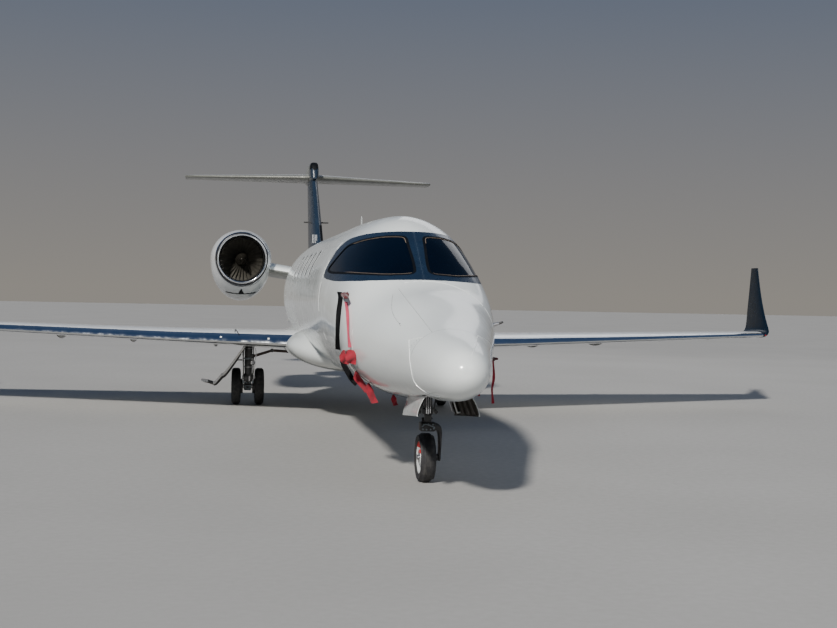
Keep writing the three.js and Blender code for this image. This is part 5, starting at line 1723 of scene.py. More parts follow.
BRAKE_LINE = [(0.007, "hose",
               [(0.06, -0.035, 0.98), (0.075, -0.04, 0.8), (0.07, -0.02, 0.6), (0.068, 0.08, 0.44),
                               (0.062, 0.20, 0.3695), (0.05, 0.25, 0.3495)])]


MAIN_PIPES = [(0.0065, "chrome",
               [(0.03, -0.05, 0.97), (0.086, -0.05, 0.89), (0.084, -0.05, 0.66), (0.078, 0.02, 0.46)]),
              (0.0065, "chrome", [(-0.03, -0.05, 0.97), (-0.103, -0.05, 0.85), (-0.106, -0.05, 0.73),
                                  (-0.092, -0.04, 0.6), (-0.074, 0.03, 0.46)])]


DRUM = [(0.036, -0.03), (0.105, -0.03), (0.112, -0.022), (0.112, 0.022), (0.105, 0.03), (0.036, 0.03),
        (0.036, -0.03)]


def make_main_gear():
    foot = place(MAIN["x"], MAIN["leg"], 0)
    axle = place(MAIN["x"], MAIN["axle"], MAIN["radius"])
    arm = tapered_arm(foot + Vector((0, 0, MAIN["pivot"])), axle)
    bore = rod("bore", axle - Vector((0.3, 0, 0)), axle + Vector((0.3, 0, 0)), 0.0358, None, None, 40)
    boss = rod("boss", axle - Vector((0.055, 0, 0)), axle + Vector((0.055, 0, 0)), 0.066, None, "alloy", 48)
    boolean(arm, copy_of(bore, "bore_two"))
    boolean(boss, bore)
    parts = rods(MAIN_LEG, foot) + rods(CALIPER_PIN, foot, (-1, 1)) + tubes(BRAKE_LINE, foot, (-1, 1))
    parts += tubes(MAIN_PIPES, foot) + [arm, boss]
    for x in (-0.072, 0.072):
        corners = foot + Vector((x - 0.014, 0.05, 0.335)), foot + Vector((x + 0.014, 0.115, 0.46))
        parts.append(box("caliper", *corners, "alloy", 0.01, 3))
    both_sides(join("main_leg", parts), "main_leg", "airframe", "main_gear_leg")

    wheels = rods([("shaft", (-0.175, 0, 0), (0.175, 0, 0), 0.035, "steel", 40)], axle)
    for side in (-1, 1):
        one = wheel(f"tyre_{side}", MAIN["radius"], MAIN["width"], 0.05)
        wheels.append(moved(one, Matrix.Translation(axle + Vector((side * MAIN["apart"] / 2, 0, 0)))))
        to_drum = Matrix.Translation(axle + Vector((side * 0.102, 0, 0)))
        to_drum = to_drum @ Matrix.Rotation(math.pi / 2, 4, "Y")
        wheels.append(moved(turned("brake", DRUM, "dark_gear", 48), to_drum))
    both_sides(join("main_tyres", wheels), "main_tyres", "wheels", "main_wheels")
    make_leaf_door()


def tapered_arm(start, end):
    """The trailing arm: an oval bar, deeper in the middle."""
    along, side = end - start, Vector((1, 0, 0))
    up = side.cross(along.normalized())
    rings = []
    for t in np.linspace(0, 1, 13):
        deep = 0.05 + 0.012 * math.sin(math.pi * t)
        middle = start + along * t
        wide, high = side * 0.042, up * deep
        rings.append([middle + wide * math.cos(a) + high * math.sin(a) for a in circle_angles(28)])
    return loft("arm", rings, "dark_gear")


LEAF = [(1.446, 0.935), (1.735, 0.525), (1.815, 0.455), (1.870, 0.390), (1.925, 0.338), (2.020, 0.364),
        (2.124, 0.380),
        (2.122, 0.394), (2.018, 0.378), (1.930, 0.353), (1.880, 0.401), (1.826, 0.465), (1.747, 0.533),
        (1.462, 0.935)]


def leaf_sides(line, at, near, far):
    """Two points beside a point of the leaf's middle line, at distances along its normal."""
    i = int(at)
    q = line[min(i + 1, len(line) - 1)] - line[max(i - 1, 0)]
    n = Vector((q.z, 0, -q.x)).normalized()
    p = line[i].lerp(line[min(i + 1, len(line) - 1)], at - i)
    return p + n * near, p + n * far


def make_leaf_door():
    """Thin bent leaf outboard of the leg, with stiffening ribs on its inner face and a link to the leg."""
    middle = [((LEAF[i][0] + LEAF[13 - i][0]) / 2, 0, (LEAF[i][1] + LEAF[13 - i][1]) / 2) for i in range(7)]
    line = smooth_path(middle, 10)
    first, last = MAIN["leg"] - 0.37, MAIN["leg"] + 0.25
    rings, ribs = [], []
    for s in np.linspace(first, last, 24):
        t = (s - first) / (last - first)
        ends = 1 - math.sin(math.pi * min(t * 1.4 + 0.15, 1) / 2) if t < 0.6 else max(t - 0.8, 0)
        trim = 0.12 * ends
        kept = line[: len(line) - int(trim * len(line))]
        places = [i / (len(line) - 1) * (len(kept) - 1) for i in range(len(line))]
        near, far = zip(*[leaf_sides(kept, at, 0.005, -0.005) for at in places])
        rings.append([p + Vector((0, s - HALF, 0)) for p in near + far[::-1]])
    leaf = loft("leaf", rings, "white", sharp=math.radians(40))
    for s in (first + 0.04, MAIN["leg"] - 0.14, MAIN["leg"] + 0.1):
        pairs, reach = [], len(line) * 0.7
        for i in range(3, int(reach)):
            deep = 0.007 + 0.026 * math.sin(math.pi * (i - 2) / (reach - 2)) ** 0.4
            pairs.append([p.xz for p in leaf_sides(line, i, 0.005, deep)])
        near, far = zip(*pairs)
        matrix = Matrix.Translation((0, s - HALF, 0)) @ FROM_FRONT
        ribs.append(prism("rib", near + far[::-1], matrix, 0.004, "dark_gear"))
    # Inboard faces, and forward faces above 0.45 m where the wing's shadow falls, take the near black of
    # painted shade
    leaf.data.materials.append(looks["inside"])
    for face in leaf.data.polygons:
        if face.normal.x < -0.2 and abs(face.normal.y) < 0.7 or face.normal.y < -0.7 and face.center.z > 0.45:
            face.material_index = 1
    post = place(MAIN["x"], MAIN["leg"], 0.69)
    for piece, low, radius in ((leaf, 0, 0.078), *((rib, -0.1, 0.082) for rib in ribs)):
        boolean(piece, rods([("room", (0, 0, low), (0, 0, 0.3), radius, None, 40)], post)[0])
    link = [("link", (0.064, 0, 0), (0.202, 0, 0), 0.012, "steel", 20),
            ("link_end", (0.192, -0.02, 0), (0.192, 0.02, 0), 0.018, "dark_gear", 20)]
    door = join("leaf_door", [leaf, *ribs, *rods(link, post)])
    boolean(door, panel("wing_cut", WING, None, 0.001))
    both_sides(door, "leaf_door", "airframe", "main_gear_door")


# Passenger door

# Its halves: bottom, top, and the heights between which its skin is thinned beside the hinge
DOOR_HALVES = {"upper": (DOOR["split"] + 0.002, DOOR["top"] - DOOR["gap"], 2.27, 2.5),
               "lower": (DOOR["sill"] + DOOR["gap"], DOOR["split"] - 0.002, 0.9, 1.185)}


def door_steps():
    """The steps on the lower half, each with a tread of carpet."""
    first, last = DOOR["from"], DOOR["to"]
    made = []
    for z in (1.19, 1.40, 1.61):
        edge = side_x(4.36, z + 0.02) - 0.03
        made.append(box("step", place(0.56, first + 0.07, z), place(edge, last - 0.07, z + 0.04), "lining",
                        0.008))
        corners = place(0.57, first + 0.08, z + 0.041), place(edge - 0.02, last - 0.08, z + 0.044)
        made.append(box("tread", *corners, "carpet", 0.001, 2))
    return made


def make_doors():
    first, last = DOOR["from"], DOOR["to"]
    for name, (low, high, relief_low, relief_high) in DOOR_HALVES.items():
        skin = body_shell(f"door_{name}", first - 0.05, last + 0.05, 0.03, 0.05, "white")
        smooth = copy_of(skin, "door_uncut")
        boolean(skin, doorway("cut", -DOOR["gap"], low, high), "INTERSECT")
        relief = thin_skin("relief", first - 0.02, last + 0.02, 0.03, -0.012, 0.06, None)
        boolean(relief, box("keep", (0, -HALF, relief_low), (2, HALF, relief_high), None), "INTERSECT")
        boolean(skin, relief)
        parts = [skin]
        if name == "upper":
            station = (first + last) / 2
            boolean(skin, window_prism("cut", station))
            pane, rim = window_parts(station, 0.03)
            parts.append(rim)
            put(pane, "door_upper", ())
        else:
            parts += door_steps()
        keep_normals(skin, smooth)
        drop(smooth)
        put(join(f"door_{name}", parts), f"door_{name}", [f"passenger_door_{name}"])


# Cabin fittings

def cushion(name, low, high):
    """A stuffed block: crowned faces whose sides pull in between the corners."""
    n = 10
    low, high = Vector(low), Vector(high)
    middle, size = (low + high) / 2, (high - low) / 2
    points, index, faces = [], {}, []

    def corner(*key):
        if key not in index:
            u = Vector([2 * k / n - 1 for k in key])
            p = u.normalized() if u.length else u
            blend = 0.22 * max(abs(c) for c in u)
            q = u * (1 - blend) + p * blend * 1.25
            index[key] = len(points)
            points.append(middle + q * size)
        return index[key]

    for a in range(n):
        for b in range(n):
            for fixed in (0, n):
                for order in ((0, 1, 2), (1, 2, 0), (2, 0, 1)):
                    quad = []
                    for da, db in ((0, 0), (1, 0), (1, 1), (0, 1)):
                        c = [0, 0, 0]
                        c[order[0]], c[order[1]], c[order[2]] = a + da, b + db, fixed
                        quad.append(corner(*c))
                    faces.append(quad if fixed else quad[::-1])
    made = outward(mesh_object(name, points, faces, "leather", math.radians(80)))
    mod = made.modifiers.new("smooth", "SUBSURF")
    mod.levels = mod.render_levels = 1
    apply_modifiers(made)
    shade(made, math.radians(80))
    return made


# Height of the floor's top, seats as distance from the centreline, station, width and whether they face
# aft, and the two corners of the rails below them
FLOOR_TOP = 1.02

CLUB = ((5.48, True), (6.7, False), (7.56, True), (8.8, False))

SEATS = {"pilot_seats": [(x, 3.02, 0.4, False) for x in (-0.35, 0.35)],
         "cabin_seats_left": [(0.43, s, 0.46, aft) for s, aft in CLUB],
         "cabin_seats_right": [(-0.43, s, 0.46, aft) for s, aft in CLUB]}


RAILS = {"pilot_seats": (-0.42, 3.06, 0.42, 3.5), "cabin_seats_left": (0.32, 5.3, 0.53, 9.3),
         "cabin_seats_right": (-0.53, 5.3, -0.32, 9.3)}


def block(name, across, along, up, look, bevel, segments=3):
    """A box from its ranges across, along the body by station, and in height."""
    (x0, x1), (s0, s1), (z0, z1) = across, along, up
    return box(name, place(x0, s0, z0), place(x1, s1, z1), look, bevel, segments)


def seat_parts(x, station, width, aft):
    """Cushions and frame of one seat."""
    base, w, depth = FLOOR_TOP, width / 2, 0.48
    back = (station - 0.11, station) if aft else (station + depth, station + depth + 0.11)
    soft = [cushion("seat_cushion", place(x - w, station, base + 0.28),
                    place(x + w, station + depth, base + 0.42)),
            cushion("seat_back", place(x - w, back[0], base + 0.30), place(x + w, back[1], base + 1.0))]
    hard = [block("pedestal", (x - 0.12, x + 0.12), (station + 0.1, station + 0.38),
                  (base + 0.021, base + 0.275),
                  "panel", 0.02)]
    for arm in (x - w + 0.03, x + w - 0.03):
        hard.append(block("armrest", (arm - 0.025, arm + 0.025), (station + 0.06, station + depth - 0.02),
                          (base + 0.5, base + 0.55), "leather", 0.015))
        hard.append(block("arm_post", (arm - 0.02, arm + 0.02), (station + 0.2, station + 0.32),
                          (base + 0.40, base + 0.505), "panel", 0.008))
    return soft, hard


def make_cabin_fittings():
    for node, seats in SEATS.items():
        soft, hard = [], []
        for values in seats:
            cushions, frame_parts = seat_parts(*values)
            soft += cushions
            hard += frame_parts
        x0, s0, x1, s1 = RAILS[node]
        hard.append(block("rail", (x0, x1), (s0, s1), (FLOOR_TOP + 0.0004, FLOOR_TOP + 0.02), "panel", 0.003))
        put(join(f"{node}_frames", hard), "airframe", [node])
        cushions = join(f"{node}_cushions", soft)
        put(cushions, "airframe", ())
    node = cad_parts["cabin_floor"]
    node.data.materials.clear()
    node.data.materials.append(looks["carpet"])
    make_panel()


def make_panel():
    """The flight deck: dash with screens and knobs, hood over it, pedestal and two yokes."""
    face = 2.8
    width = side_x(2.7, 1.45) - 0.07
    dash = block("dash", (-width, width), (2.56, face - 0.02), (1.04, 1.66), "panel", 0.02)
    shell = loft("inside_cut", body_rings(np.linspace(2.3, 3.2, 30), 96, 0.066), None)
    boolean(dash, copy_of(shell, "inside_two"), "INTERSECT")
    hood = block("glareshield", (-width, width), (2.5, face + 0.06), (1.66, 1.72), "panel", 0.025, 4)
    boolean(hood, shell, "INTERSECT")
    parts = [dash, hood, block("pedestal", (-0.13, 0.13), (face - 0.03, 3.06), (1.022, 1.28), "panel", 0.015)]
    for x in (-0.42, -0.14, 0.14, 0.42):
        parts.append(block("screen", (x - 0.12, x + 0.12), (face - 0.024, face - 0.012), (1.40, 1.60),
                           "glass", 0.006))
    origin = place(0, face, 0)
    knobs = [("knob", (x, -0.024, 1.33), (x, -0.002, 1.33), (0.011, 0.009), "grey", 16)
             for x in np.arange(11) * 0.07 - 0.35]
    column = [("column", (0.35, -0.03, 1.30), (0.35, 0.09, 1.36), 0.014, "steel", 16)]
    yoke = [(-0.13, 0.09, 1.43), (-0.11, 0.09, 1.36), (0, 0.09, 1.35), (0.11, 0.09, 1.36), (0.13, 0.09, 1.43)]
    parts += rods(knobs, origin) + rods(column, origin, (-1, 1))
    for x in (-0.35, 0.35):
        parts += tubes([(0.013, "panel", yoke)], origin + Vector((x, 0, 0)))
    put(join("flight_deck_panel", parts), "airframe", ["instrument_panel"])


# Small fittings

def ribbon(name, points, widths, normal, look, wave, across=None):
    """A cloth band along points, with slight waves; its width lies across the normal or in a given
    direction."""
    thick = 0.0016
    path = smooth_path(points)
    rings = []
    n = Vector(normal).normalized()
    for i, p in enumerate(path):
        t = i / (len(path) - 1)
        ahead = ahead_at(path, i)
        side = Vector(across).normalized() if across else ahead.cross(n).normalized()
        face = side.cross(ahead).normalized()
        w = float(np.interp(t, np.linspace(0, 1, len(widths)), widths)) / 2
        ring = []
        for sign in (-1, 1):
            for k in np.linspace(-1, 1, 7)[::sign]:
                ripple = wave * math.sin(9 * t + 2.2 * k) * (0.4 + t)
                ring.append(p + side * (w * k) + face * (ripple + sign * thick / 2))
        rings.append(ring)
    return loft(name, rings, look, sharp=math.radians(60)), path_length(path)


def path_length(path):
    return sum((b - a).length for a, b in zip(path, path[1:]))


def bare_sheet(piece, length, held, rests_on):
    """Puts a band of cloth on the airframe."""
    put(piece, "airframe", ())


def sleeve(name, start, end, r0, r1, look):
    """A soft tapered sock over a probe, gathered at its open end."""
    length = (Vector(end) - Vector(start)).length
    rings = []
    for t in np.linspace(0, 1, 22):
        r = r0 + (r1 - r0) * t
        r *= 1 + 0.16 * math.exp(-((t - 0.06) / 0.05) ** 2) - 0.15 * math.exp(-((t - 0.16) / 0.05) ** 2)
        if t > 0.9:
            r *= math.sqrt(max(1 - ((t - 0.9) / 0.1) ** 2, 0.02))
        ring = []
        for a in circle_angles(28):
            k = 1 + 0.07 * math.sin(5 * a + 7 * t) + 0.03 * math.sin(11 * a)
            ring.append((r * k * math.cos(a) * 1.15, r * k * math.sin(a) * 0.8, t * length))
        rings.append(ring)
    return moved(loft(name, rings, look, sharp=math.radians(70)), frame_of(start, end))


def on_side(station, z, out, sign):
    return place(sign * (side_x(station, z) + out), station, z)


# Station, height, length, radius and how far out each cover goes
COVERS = {"right": [(2.50, 1.73, 0.24, 0.027, 0.045), (2.14, 1.19, 0.10, 0.021, 0.058)],
          "left": [(2.40, 1.13, 0.10, 0.021, 0.058), (2.45, 0.95, 0.09, 0.021, 0.11)]}


def free_path(points, out):
    """Places the points, moved out of the body where they would come closer to it than a distance."""
    return [place(-max(-x, side_x(station, z) + out), station, z) for x, station, z in points]


# Bands of cloth on the right: name, look, widths, wave, distance from the skin, what holds them, and their
# points as distance from the centreline, station and height
BAND_FACING = (0.98, 0.17, 0)

UPPER_BANDS = [
    ("strap_upper", "strap", (0.05, 0.05, 0.042, 0.05), 0.003, 0.025, "probe_socks_right",
     [(-0.755, 2.66, 1.755), (-0.746, 2.592, 1.695), (-0.766, 2.516, 1.579), (-0.778, 2.472, 1.464),
      (-0.780, 2.472, 1.348), (-0.773, 2.528, 1.249), (-0.760, 2.60, 1.19)]),
    ("streamer_upper", "pink", (0.034, 0.03, 0.022, 0.034), 0.004, 0.018, "probe_socks_right",
     [(-0.715, 2.412, 1.66), (-0.713, 2.28, 1.546), (-0.715, 2.188, 1.434), (-0.713, 2.144, 1.323),
      (-0.699, 2.124, 1.235)])]


LOWER_BANDS = [
    ("flag_loop_0", "red", (0.05, 0.10, 0.11, 0.07), 0.010, 0.03, "probe_socks_right",
     [(-0.69, 2.06, 1.215), (-0.70, 2.03, 1.175), (-0.70, 2.01, 1.13), (-0.69, 2.03, 1.085)]),
    ("flag_loop_1", "red", (0.03, 0.07, 0.08, 0.05), 0.010, 0.03, "probe_socks_right",
     [(-0.745, 2.20, 1.205), (-0.755, 2.17, 1.16), (-0.75, 2.16, 1.11), (-0.73, 2.17, 1.075)]),
    ("strap_side", "strap", (0.04, 0.055, 0.055, 0.05), 0.004, 0.03, "strap_under",
     [(-0.745, 2.45, 1.10), (-0.715, 2.44, 1.04), (-0.680, 2.43, 0.98), (-0.645, 2.41, 0.92),
      (-0.60, 2.37, 0.87)])]


# The strap under the nose: points down the right side, under the belly, and up the left side
SIDE_RIGHT = [(2.36, 1.12, 0.014, -1), (2.33, 1.00, 0.008, -1), (2.30, 0.90, 0.006, -1)]

UNDER = [(-0.46, 2.27), (-0.32, 2.23), (-0.16, 2.2), (0.0, 2.2), (0.16, 2.22), (0.32, 2.26), (0.46, 2.32)]

SIDE_LEFT = [(2.38, 0.88, 0.006, 1), (2.42, 0.93, 0.014, 1)]

# Flags on that strap: distance from the centreline, station, shift forward, gap below the skin, drop, width
# and lean
FLAGS = [(-0.62, 2.30, 0, 0.012, 0.20, 0.085, 0.12), (-0.50, 2.28, 0.01, 0.009, 0.19, 0.08, 0.06),
         (-0.265, 2.23, 0.01, 0.009, 0.10, 0.055, 0.02)]


# Streamers on the left: station, height and drop
LEFT_STREAMERS = [(2.36, 1.115, 0.42), (2.40, 0.935, 0.17)]


def hang_bands(rows):
    for name, look, widths, wave, out, holder, points in rows:
        across = None if name == "strap_side" else BAND_FACING
        normal = across or (0, -1, 0)
        bare_sheet(*ribbon(name, free_path(points, out), widths, normal, look, wave, across), "hung",
                   [holder])


def hang_down(name, top, steps, widths, normal, look, wave, across, holder):
    """A band that hangs from a point by steps from that point."""
    path = [top] + [top + Vector(s) for s in steps]
    bare_sheet(*ribbon(name, path, widths, normal, look, wave, across), "hung", [holder])


def make_covers():
    for side, rows in COVERS.items():
        sign = 1 if side == "left" else -1
        socks = []
        for station, z, long, thick, out in rows:
            base = on_side(station, z, 0.002, sign)
            at = lambda dx, dy, dz: base + Vector((sign * dx, dy, dz))
            socks.append(rod("mast", at(-0.02, 0, 0), at(0.05, -0.015, -0.003), 0.014, 0.012, "steel", 20))
            tip = base + Vector((sign * out, -long, -0.25 * (long - 0.12)))
            socks.append(sleeve("sock", at(0.036, 0.02, 0), tip, thick, thick * 0.7, "maroon"))
            socks.append(sleeve("cuff", at(0.004, 0, 0), at(0.062, -0.012, -0.004), thick + 0.003, thick,
                                "maroon"))
        put(join(f"probe_socks_{side}", socks), "airframe", [f"probe_covers_{side}"])

    hang_bands(UPPER_BANDS)
    under = [belly(*p, -0.006) for p in UNDER]
    wrap = [on_side(*p) for p in SIDE_RIGHT] + under + [on_side(*p) for p in SIDE_LEFT]
    bare_sheet(*wrapped("strap_under", wrap, 0.04, "strap"), "stretched", ["cockpit_skin", "nose_skin"])
    for i, (x, station, shift, gap, fall, wide, lean) in enumerate(FLAGS):
        top = belly(x, station, -gap) - Vector((0, shift, 0))
        steps = [(lean * 0.15, -0.012, -fall * 0.35), (lean * 0.6, -0.004, -fall * 0.7), (lean, -0.02, -fall)]
        hang_down(f"flag_{i}", top, steps, (0.02, wide, wide, wide * 0.9), (0, -1, 0.1), "red", 0.005,
                  (0.95, 0.3, 0),
                  "strap_under")
    hang_bands(LOWER_BANDS)
    for i, (station, z, fall) in enumerate(LEFT_STREAMERS):
        steps = [(0.008, -0.01, -fall * 0.4), (-0.004, 0.0, -fall * 0.7), (0.004, -0.01, -fall)]
        hang_down(f"streamer_left_{i}", on_side(station, z, 0.045, 1), steps, (0.022, 0.03, 0.028, 0.03),
                  (0, -1, 0),
                  "red", 0.004, (0.9, 0.43, 0), "probe_socks_left")


def wrapped(name, points, width, look):
    """A band that wraps round the body, its width along the body, and its length."""
    path = smooth_path(points, 6)
    corners = ((-1, -1), (0, -1), (1, -1), (1, 1), (0, 1), (-1, 1))
    up_at = lambda p, ahead: Vector((0, 1, 0)).cross(ahead).normalized()
    return band(name, path, width, 0.0016, look, up_at, corners, math.radians(60)), path_length(path)


def blade_antenna(name, base, height, chord, sweep, direction=(0, 0, 1)):
    """A swept blade that stands on the skin."""
    thick = 0.014
    up = Vector(direction).normalized()
    across = up.cross(Vector((0, 1, 0))).normalized()
    rings = []
    for t in np.linspace(0, 1, 9):
        c = chord * (1 - 0.45 * t) * (1 if t < 0.9 else math.sqrt(1 - ((t - 0.9) / 0.115) ** 2))
        ring = []
        for a in circle_angles(20):
            along = sweep * t + (1 - math.cos(a)) / 2 * c
            side = math.sin(a) * thick / 2 * (1 - 0.4 * t)
            ring.append(Vector(base) + up * (t * height - 0.01) + Vector((0, along, 0)) + across * side)
        rings.append(ring)
    return loft(name, rings, "white", sharp=math.radians(60))


def antenna_bump():
    """A low rounded housing on the roof."""
    start, length, wide, tall = 6.2, 0.4, 0.1045, 0.055
    rings = []
    for t in np.linspace(0, 1, 10):
        a = wide * math.sqrt(max(1 - (2 * t - 1) ** 2, 0.001))
        rise = max(tall * math.sin(math.pi * t) ** 0.7, 0)
        ring = []
        for u in circle_angles(24):
            lift = rise * max(math.sin(u), 0) - 0.01 * (math.sin(u) < 0)
            ring.append(place(a * math.cos(u), start + length * t, top_z(start, 0) - 0.02 + lift))
        rings.append(ring)
    return loft("bump", rings, "white")


# Raised strips on the nose's joints and edges, whiter than the paint: real strips with a painted highlight
NOSE_LINES = [
    ([(-0.335, 0.876, 1.36), (-0.349, 0.751, 1.264), (-0.35, 0.702, 1.183), (-0.339, 0.684, 1.101),
      (-0.309, 0.701, 1.017),
      (-0.259, 0.662, 0.962), (-0.2, 0.56, 0.929), (-0.148, 0.386, 0.923)], 0.009, "bright"),
    ([(0.224, 0.723, 1.41), (0.305, 0.835, 1.379), (0.389, 1.004, 1.337), (0.463, 1.192, 1.241)], 0.010,
     "bright"),
    ([(0.046, 0.089, 1.278), (0.224, 0.723, 1.41)], 0.010, "bright"),
    ([(-0.248, 0.709, 1.389), (-0.335, 0.876, 1.36)], 0.007, "bright")]
RIVET_LINES = [
    [(-0.28, 2.038, 1.8), (-0.247, 1.603, 1.676), (-0.209, 1.203, 1.559), (-0.175, 0.72, 1.426)],
    [(-0.248, 0.72, 1.389), (-0.291, 0.74, 1.34), (-0.335, 0.78, 1.27)],
    [(-0.35, 1.95, 1.76), (-0.42, 1.55, 1.60), (-0.40, 1.2, 1.48)]]


def make_fittings():
    parts = [blade_antenna("antenna", place(0, 7.25, top_z(7.25, 0)), 0.2, 0.2, 0.1),
             blade_antenna("antenna", place(0, 9.3, top_z(9.3, 0)), 0.08, 0.16, 0.04), antenna_bump(),
             blade_antenna("belly_antenna", place(0, 5.2, 0.73), 0.11, 0.16, 0.07, (0, 0, -1)),
             blade_antenna("belly_antenna", place(0, 8.9, 0.73), 0.06, 0.16, 0.07, (0, 0, -1))]
    put(join("antennas", parts), "airframe", ())

    probe = [("probe_base", (-0.02, 0, 0), (0.05, 0, 0.02), (0.02, 0.014), "steel", 24),
             ("probe", (0.045, 0.002, 0.018), (0.085, -0.02, 0.034), (0.013, 0.010), "dark_gear", 24)]
    put(join("temperature_probe", rods(probe, on_side(2.3, 1.46, 0, 1))), "airframe", ())

    joint = BREAKS["radome"]
    strips = [thin_skin("radome_joint", joint - 0.003, joint + 0.003, 0.003, 0.0002, 0.006, "seam", 160)]
    strips += [skin_strip(*row) for row in NOSE_LINES]
    for points in RIVET_LINES:
        strips += rivets(points, 0.012, 0.028, "seam")
    port = on_skin(-0.45, 1.25, 1.55)
    ends = [port + skin_normal(port) * out for out in (-0.01, 0.0012)]
    strips.append(rod("port", *ends, 0.008, None, "jet", 20, 0.0005))
    put(join("radome_trim", strips), "airframe", ())
    make_lights()
    make_wing_fittings()
    make_tail_fittings()
    make_engine_fittings()


# Radius and height of the outlines of small turned pieces
BEACON = [(0.0002, 0.045), (0.018, 0.042), (0.032, 0.03), (0.038, 0.01), (0.038, 0.0), (0.05, -0.004),
          (0.05, -0.02),
          (0.0002, -0.021)]


FUEL_CAP = [(0.0002, 0.004), (0.03, 0.004), (0.034, 0.0025), (0.045, 0.002), (0.05, 0.0), (0.05, -0.01),
            (0.0002, -0.01)]


DRAIN = [(0.02, 0.0), (0.024, 0.0), (0.024, 0.06), (0.02, 0.06), (0.02, 0.0)]

TAIL_LIGHT = [(0.0002, 0.03), (0.016, 0.024), (0.022, 0.0), (0.022, -0.03), (0.0002, -0.03)]


def turned_at(name, profile, look, sides, at, angle=0.0, axis="X"):
    """A turned piece at a place, tilted by an angle in degrees."""
    made = turned(name, profile, look, sides)
    return moved(made, Matrix.Translation(at) @ Matrix.Rotation(math.radians(angle), 4, axis))


def make_lights():
    put(turned_at("belly_beacon", BEACON, "red_lens", 40, place(0, 6.3, 0.738), 180), "airframe", ())
    for side, sign, look in (("left", 1, "red_lens"), ("right", -1, "green_lens")):
        light = tip_lens(f"nav_light_{side}", place(sign * 7.045, 9.985, 1.176), look)
        put(light, "airframe", ())


def tip_lens(name, at, look):
    """A streamlined lens on the front of the tip."""
    rings = []
    for t in np.linspace(0, 1, 14):
        r = 0.034 * math.sin(math.pi * min(t * 0.62 + 0.02, 1)) ** 0.7
        ring = [(r * 0.9 * math.cos(a), -0.035 + 0.19 * t, r * 0.75 * math.sin(a)) for a in circle_angles(24)]
        rings.append([at + Vector(p) for p in ring])
    return loft(name, rings, look)


def make_wing_fittings():
    parts = []
    for x, deep in ((5.39, 0.06), (5.78, 0.03), (6.29, 0.055)):
        base = wing_point(x, 0.75) - Vector((0, 0, 0.03))
        corners = base - Vector((0.012, 0.09, deep)), base + Vector((0.012, 0.09, 0.035))
        parts.append(box("bracket", *corners, "dark_gear"))
    marker = [("marker", (0, 0.012, 0), (0, -0.006, 0.001), 0.014, "bright", 20)]
    for x in (1.20, 1.85):
        parts += rods(marker, wing_skin(x, 0.012))
    sensor = [place(1.66, 8.03, 1.165), place(1.65, 8.0, 1.20), place(1.60, 7.95, 1.125)]
    parts.append(tube("sensor", sensor, 0.006, "jet"))
    parts.append(turned_at("fuel_cap", FUEL_CAP, "steel", 48, wing_skin(6.0, 0.35)))
    wicks = [wick(wing_point(x, 1.0), (0.05, 1, -0.02)) for x in (5.2, 5.6, 6.0, 6.4)]
    both_sides(join("wing_fittings", parts), "wing_fittings", "airframe")
    both_sides(join("aileron_wicks", wicks), "aileron_wicks", "aileron")


def wick(at, direction, long=0.11):
    d = Vector(direction).normalized()
    return rod("wick", Vector(at) - d * 0.012, Vector(at) + d * long, 0.0035, 0.0015, "boot", 8)


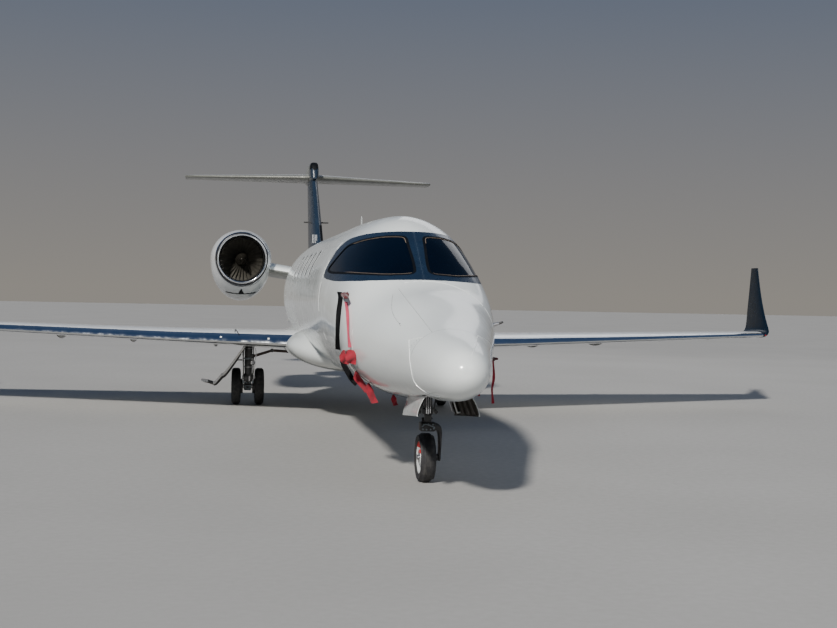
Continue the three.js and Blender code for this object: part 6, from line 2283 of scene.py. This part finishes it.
def make_tail_fittings():
    half, top, bottom, middle, _, _ = body_at(16.02)[0]
    vent = []
    for t in np.linspace(0, 1, 10):
        vent.append([place(half * 0.55 * math.cos(a), 16.02 + 0.09 * t,
                           middle + (top - bottom) * 0.24 * math.sin(a))
                     for a in circle_angles(40)])
    # The tail vent is a near-black plug: painted shade in its opening
    parts = [loft("tail_vent", vent, "dark"),
             turned_at("drain", DRAIN, "hot", 32, place(-0.22, 14.6, 1.56), -120, "Y"),
             rod("side_aerial", place(-0.24, 15.0, 3.088), place(0.24, 15.0, 3.088), 0.013, None, "dark_gear",
                 20)]
    # The inlet is a black block: painted shade in the scoop's opening
    inlet = []
    for z in np.linspace(2.72, 3.02, 8):
        lead = row_at(FIN, z)[1] + 0.03
        outline = ((0.016, 0), (0.046, -0.015), (0.076, 0), (0.076, 0.25), (0.016, 0.25))
        inlet.append([place(x, lead + s, z) for x, s in outline])
    parts.append(loft("fin_inlet", inlet, "jet"))
    for x in np.arange(4) * 0.026 - 0.12:
        parts.append(rod("fin_vent", place(x, 14.25, 2.66), place(x, 14.27, 2.82), 0.006, None, "grey", 16))
    put(join("tail_fittings", parts), "airframe", ())
    wicks = []
    for x in (1.0, 1.7, 2.3):
        _, lead, z, chord, *_ = row_at(STABILIZER, x)
        wicks.append(wick(place(x, lead + chord, z), (0.05, 1, 0), min(0.11, 17.676 - lead - chord)))
    both_sides(join("elevator_wicks", wicks), "elevator_wicks", "elevator")
    light = turned_at("tail_light", TAIL_LIGHT, "lens", 32, place(0, 17.53, 4.07), -90)
    put(light, "airframe", ())


def cowl_point(x, z, out=0.002):
    """The point of the cowl's lower front that the camera sees at a distance across and down from the
    engine's axis."""
    low, high = 0.06, 0.8
    curve = spline([r[0] for r in NACELLE], [r[1:] for r in NACELLE])
    for _ in range(30):
        s = (low + high) / 2
        half, _, bottom, _ = curve(s)[0]
        low, high = (s, high) if (x / half) ** 2 + (z / bottom) ** 2 > 1 else (low, s)
    return ENGINE + Vector((x, s, z)) + Vector((x, -0.3, z)).normalized() * out


def cowl_patch(name, pairs, look):
    """A thin patch on the cowl between pairs of points across and down from the engine's axis."""
    rings = []
    for a, b in pairs:
        rings.append([cowl_point(*a), cowl_point(*b), cowl_point(*b, -0.006), cowl_point(*a, -0.006)])
    return loft(name, rings, look)


def make_engine_fittings():
    slot = []
    for x in np.linspace(-0.25, 0.25, 25):
        z = -0.562 + 0.03 * (x / 0.25) ** 2
        slot.append(((x, z), (x, z - 0.014)))
    steps = zip(np.linspace(-0.490, -0.562, 10), np.linspace(0.004, 0.046, 10))
    notch = [((-w, z), (w, z)) for z, w in steps]
    # Thin black patches on the cowl: painted shade in the openings of the slot and the notch
    parts = [cowl_patch("slot", slot, "jet"), cowl_patch("notch", notch, "jet")]
    both_sides(join("nacelle_intake", parts), "nacelle_intake", "airframe")


def main():
    make_looks()
    make_camera()
    make_studio()
    make_floor()
    make_plain_fuselage()
    make_cockpit()
    make_cabin()
    make_doors()
    make_wing()
    make_tail()
    make_engines()
    make_nose_gear()
    make_main_gear()
    make_cabin_fittings()
    make_covers()
    make_fittings()


main()
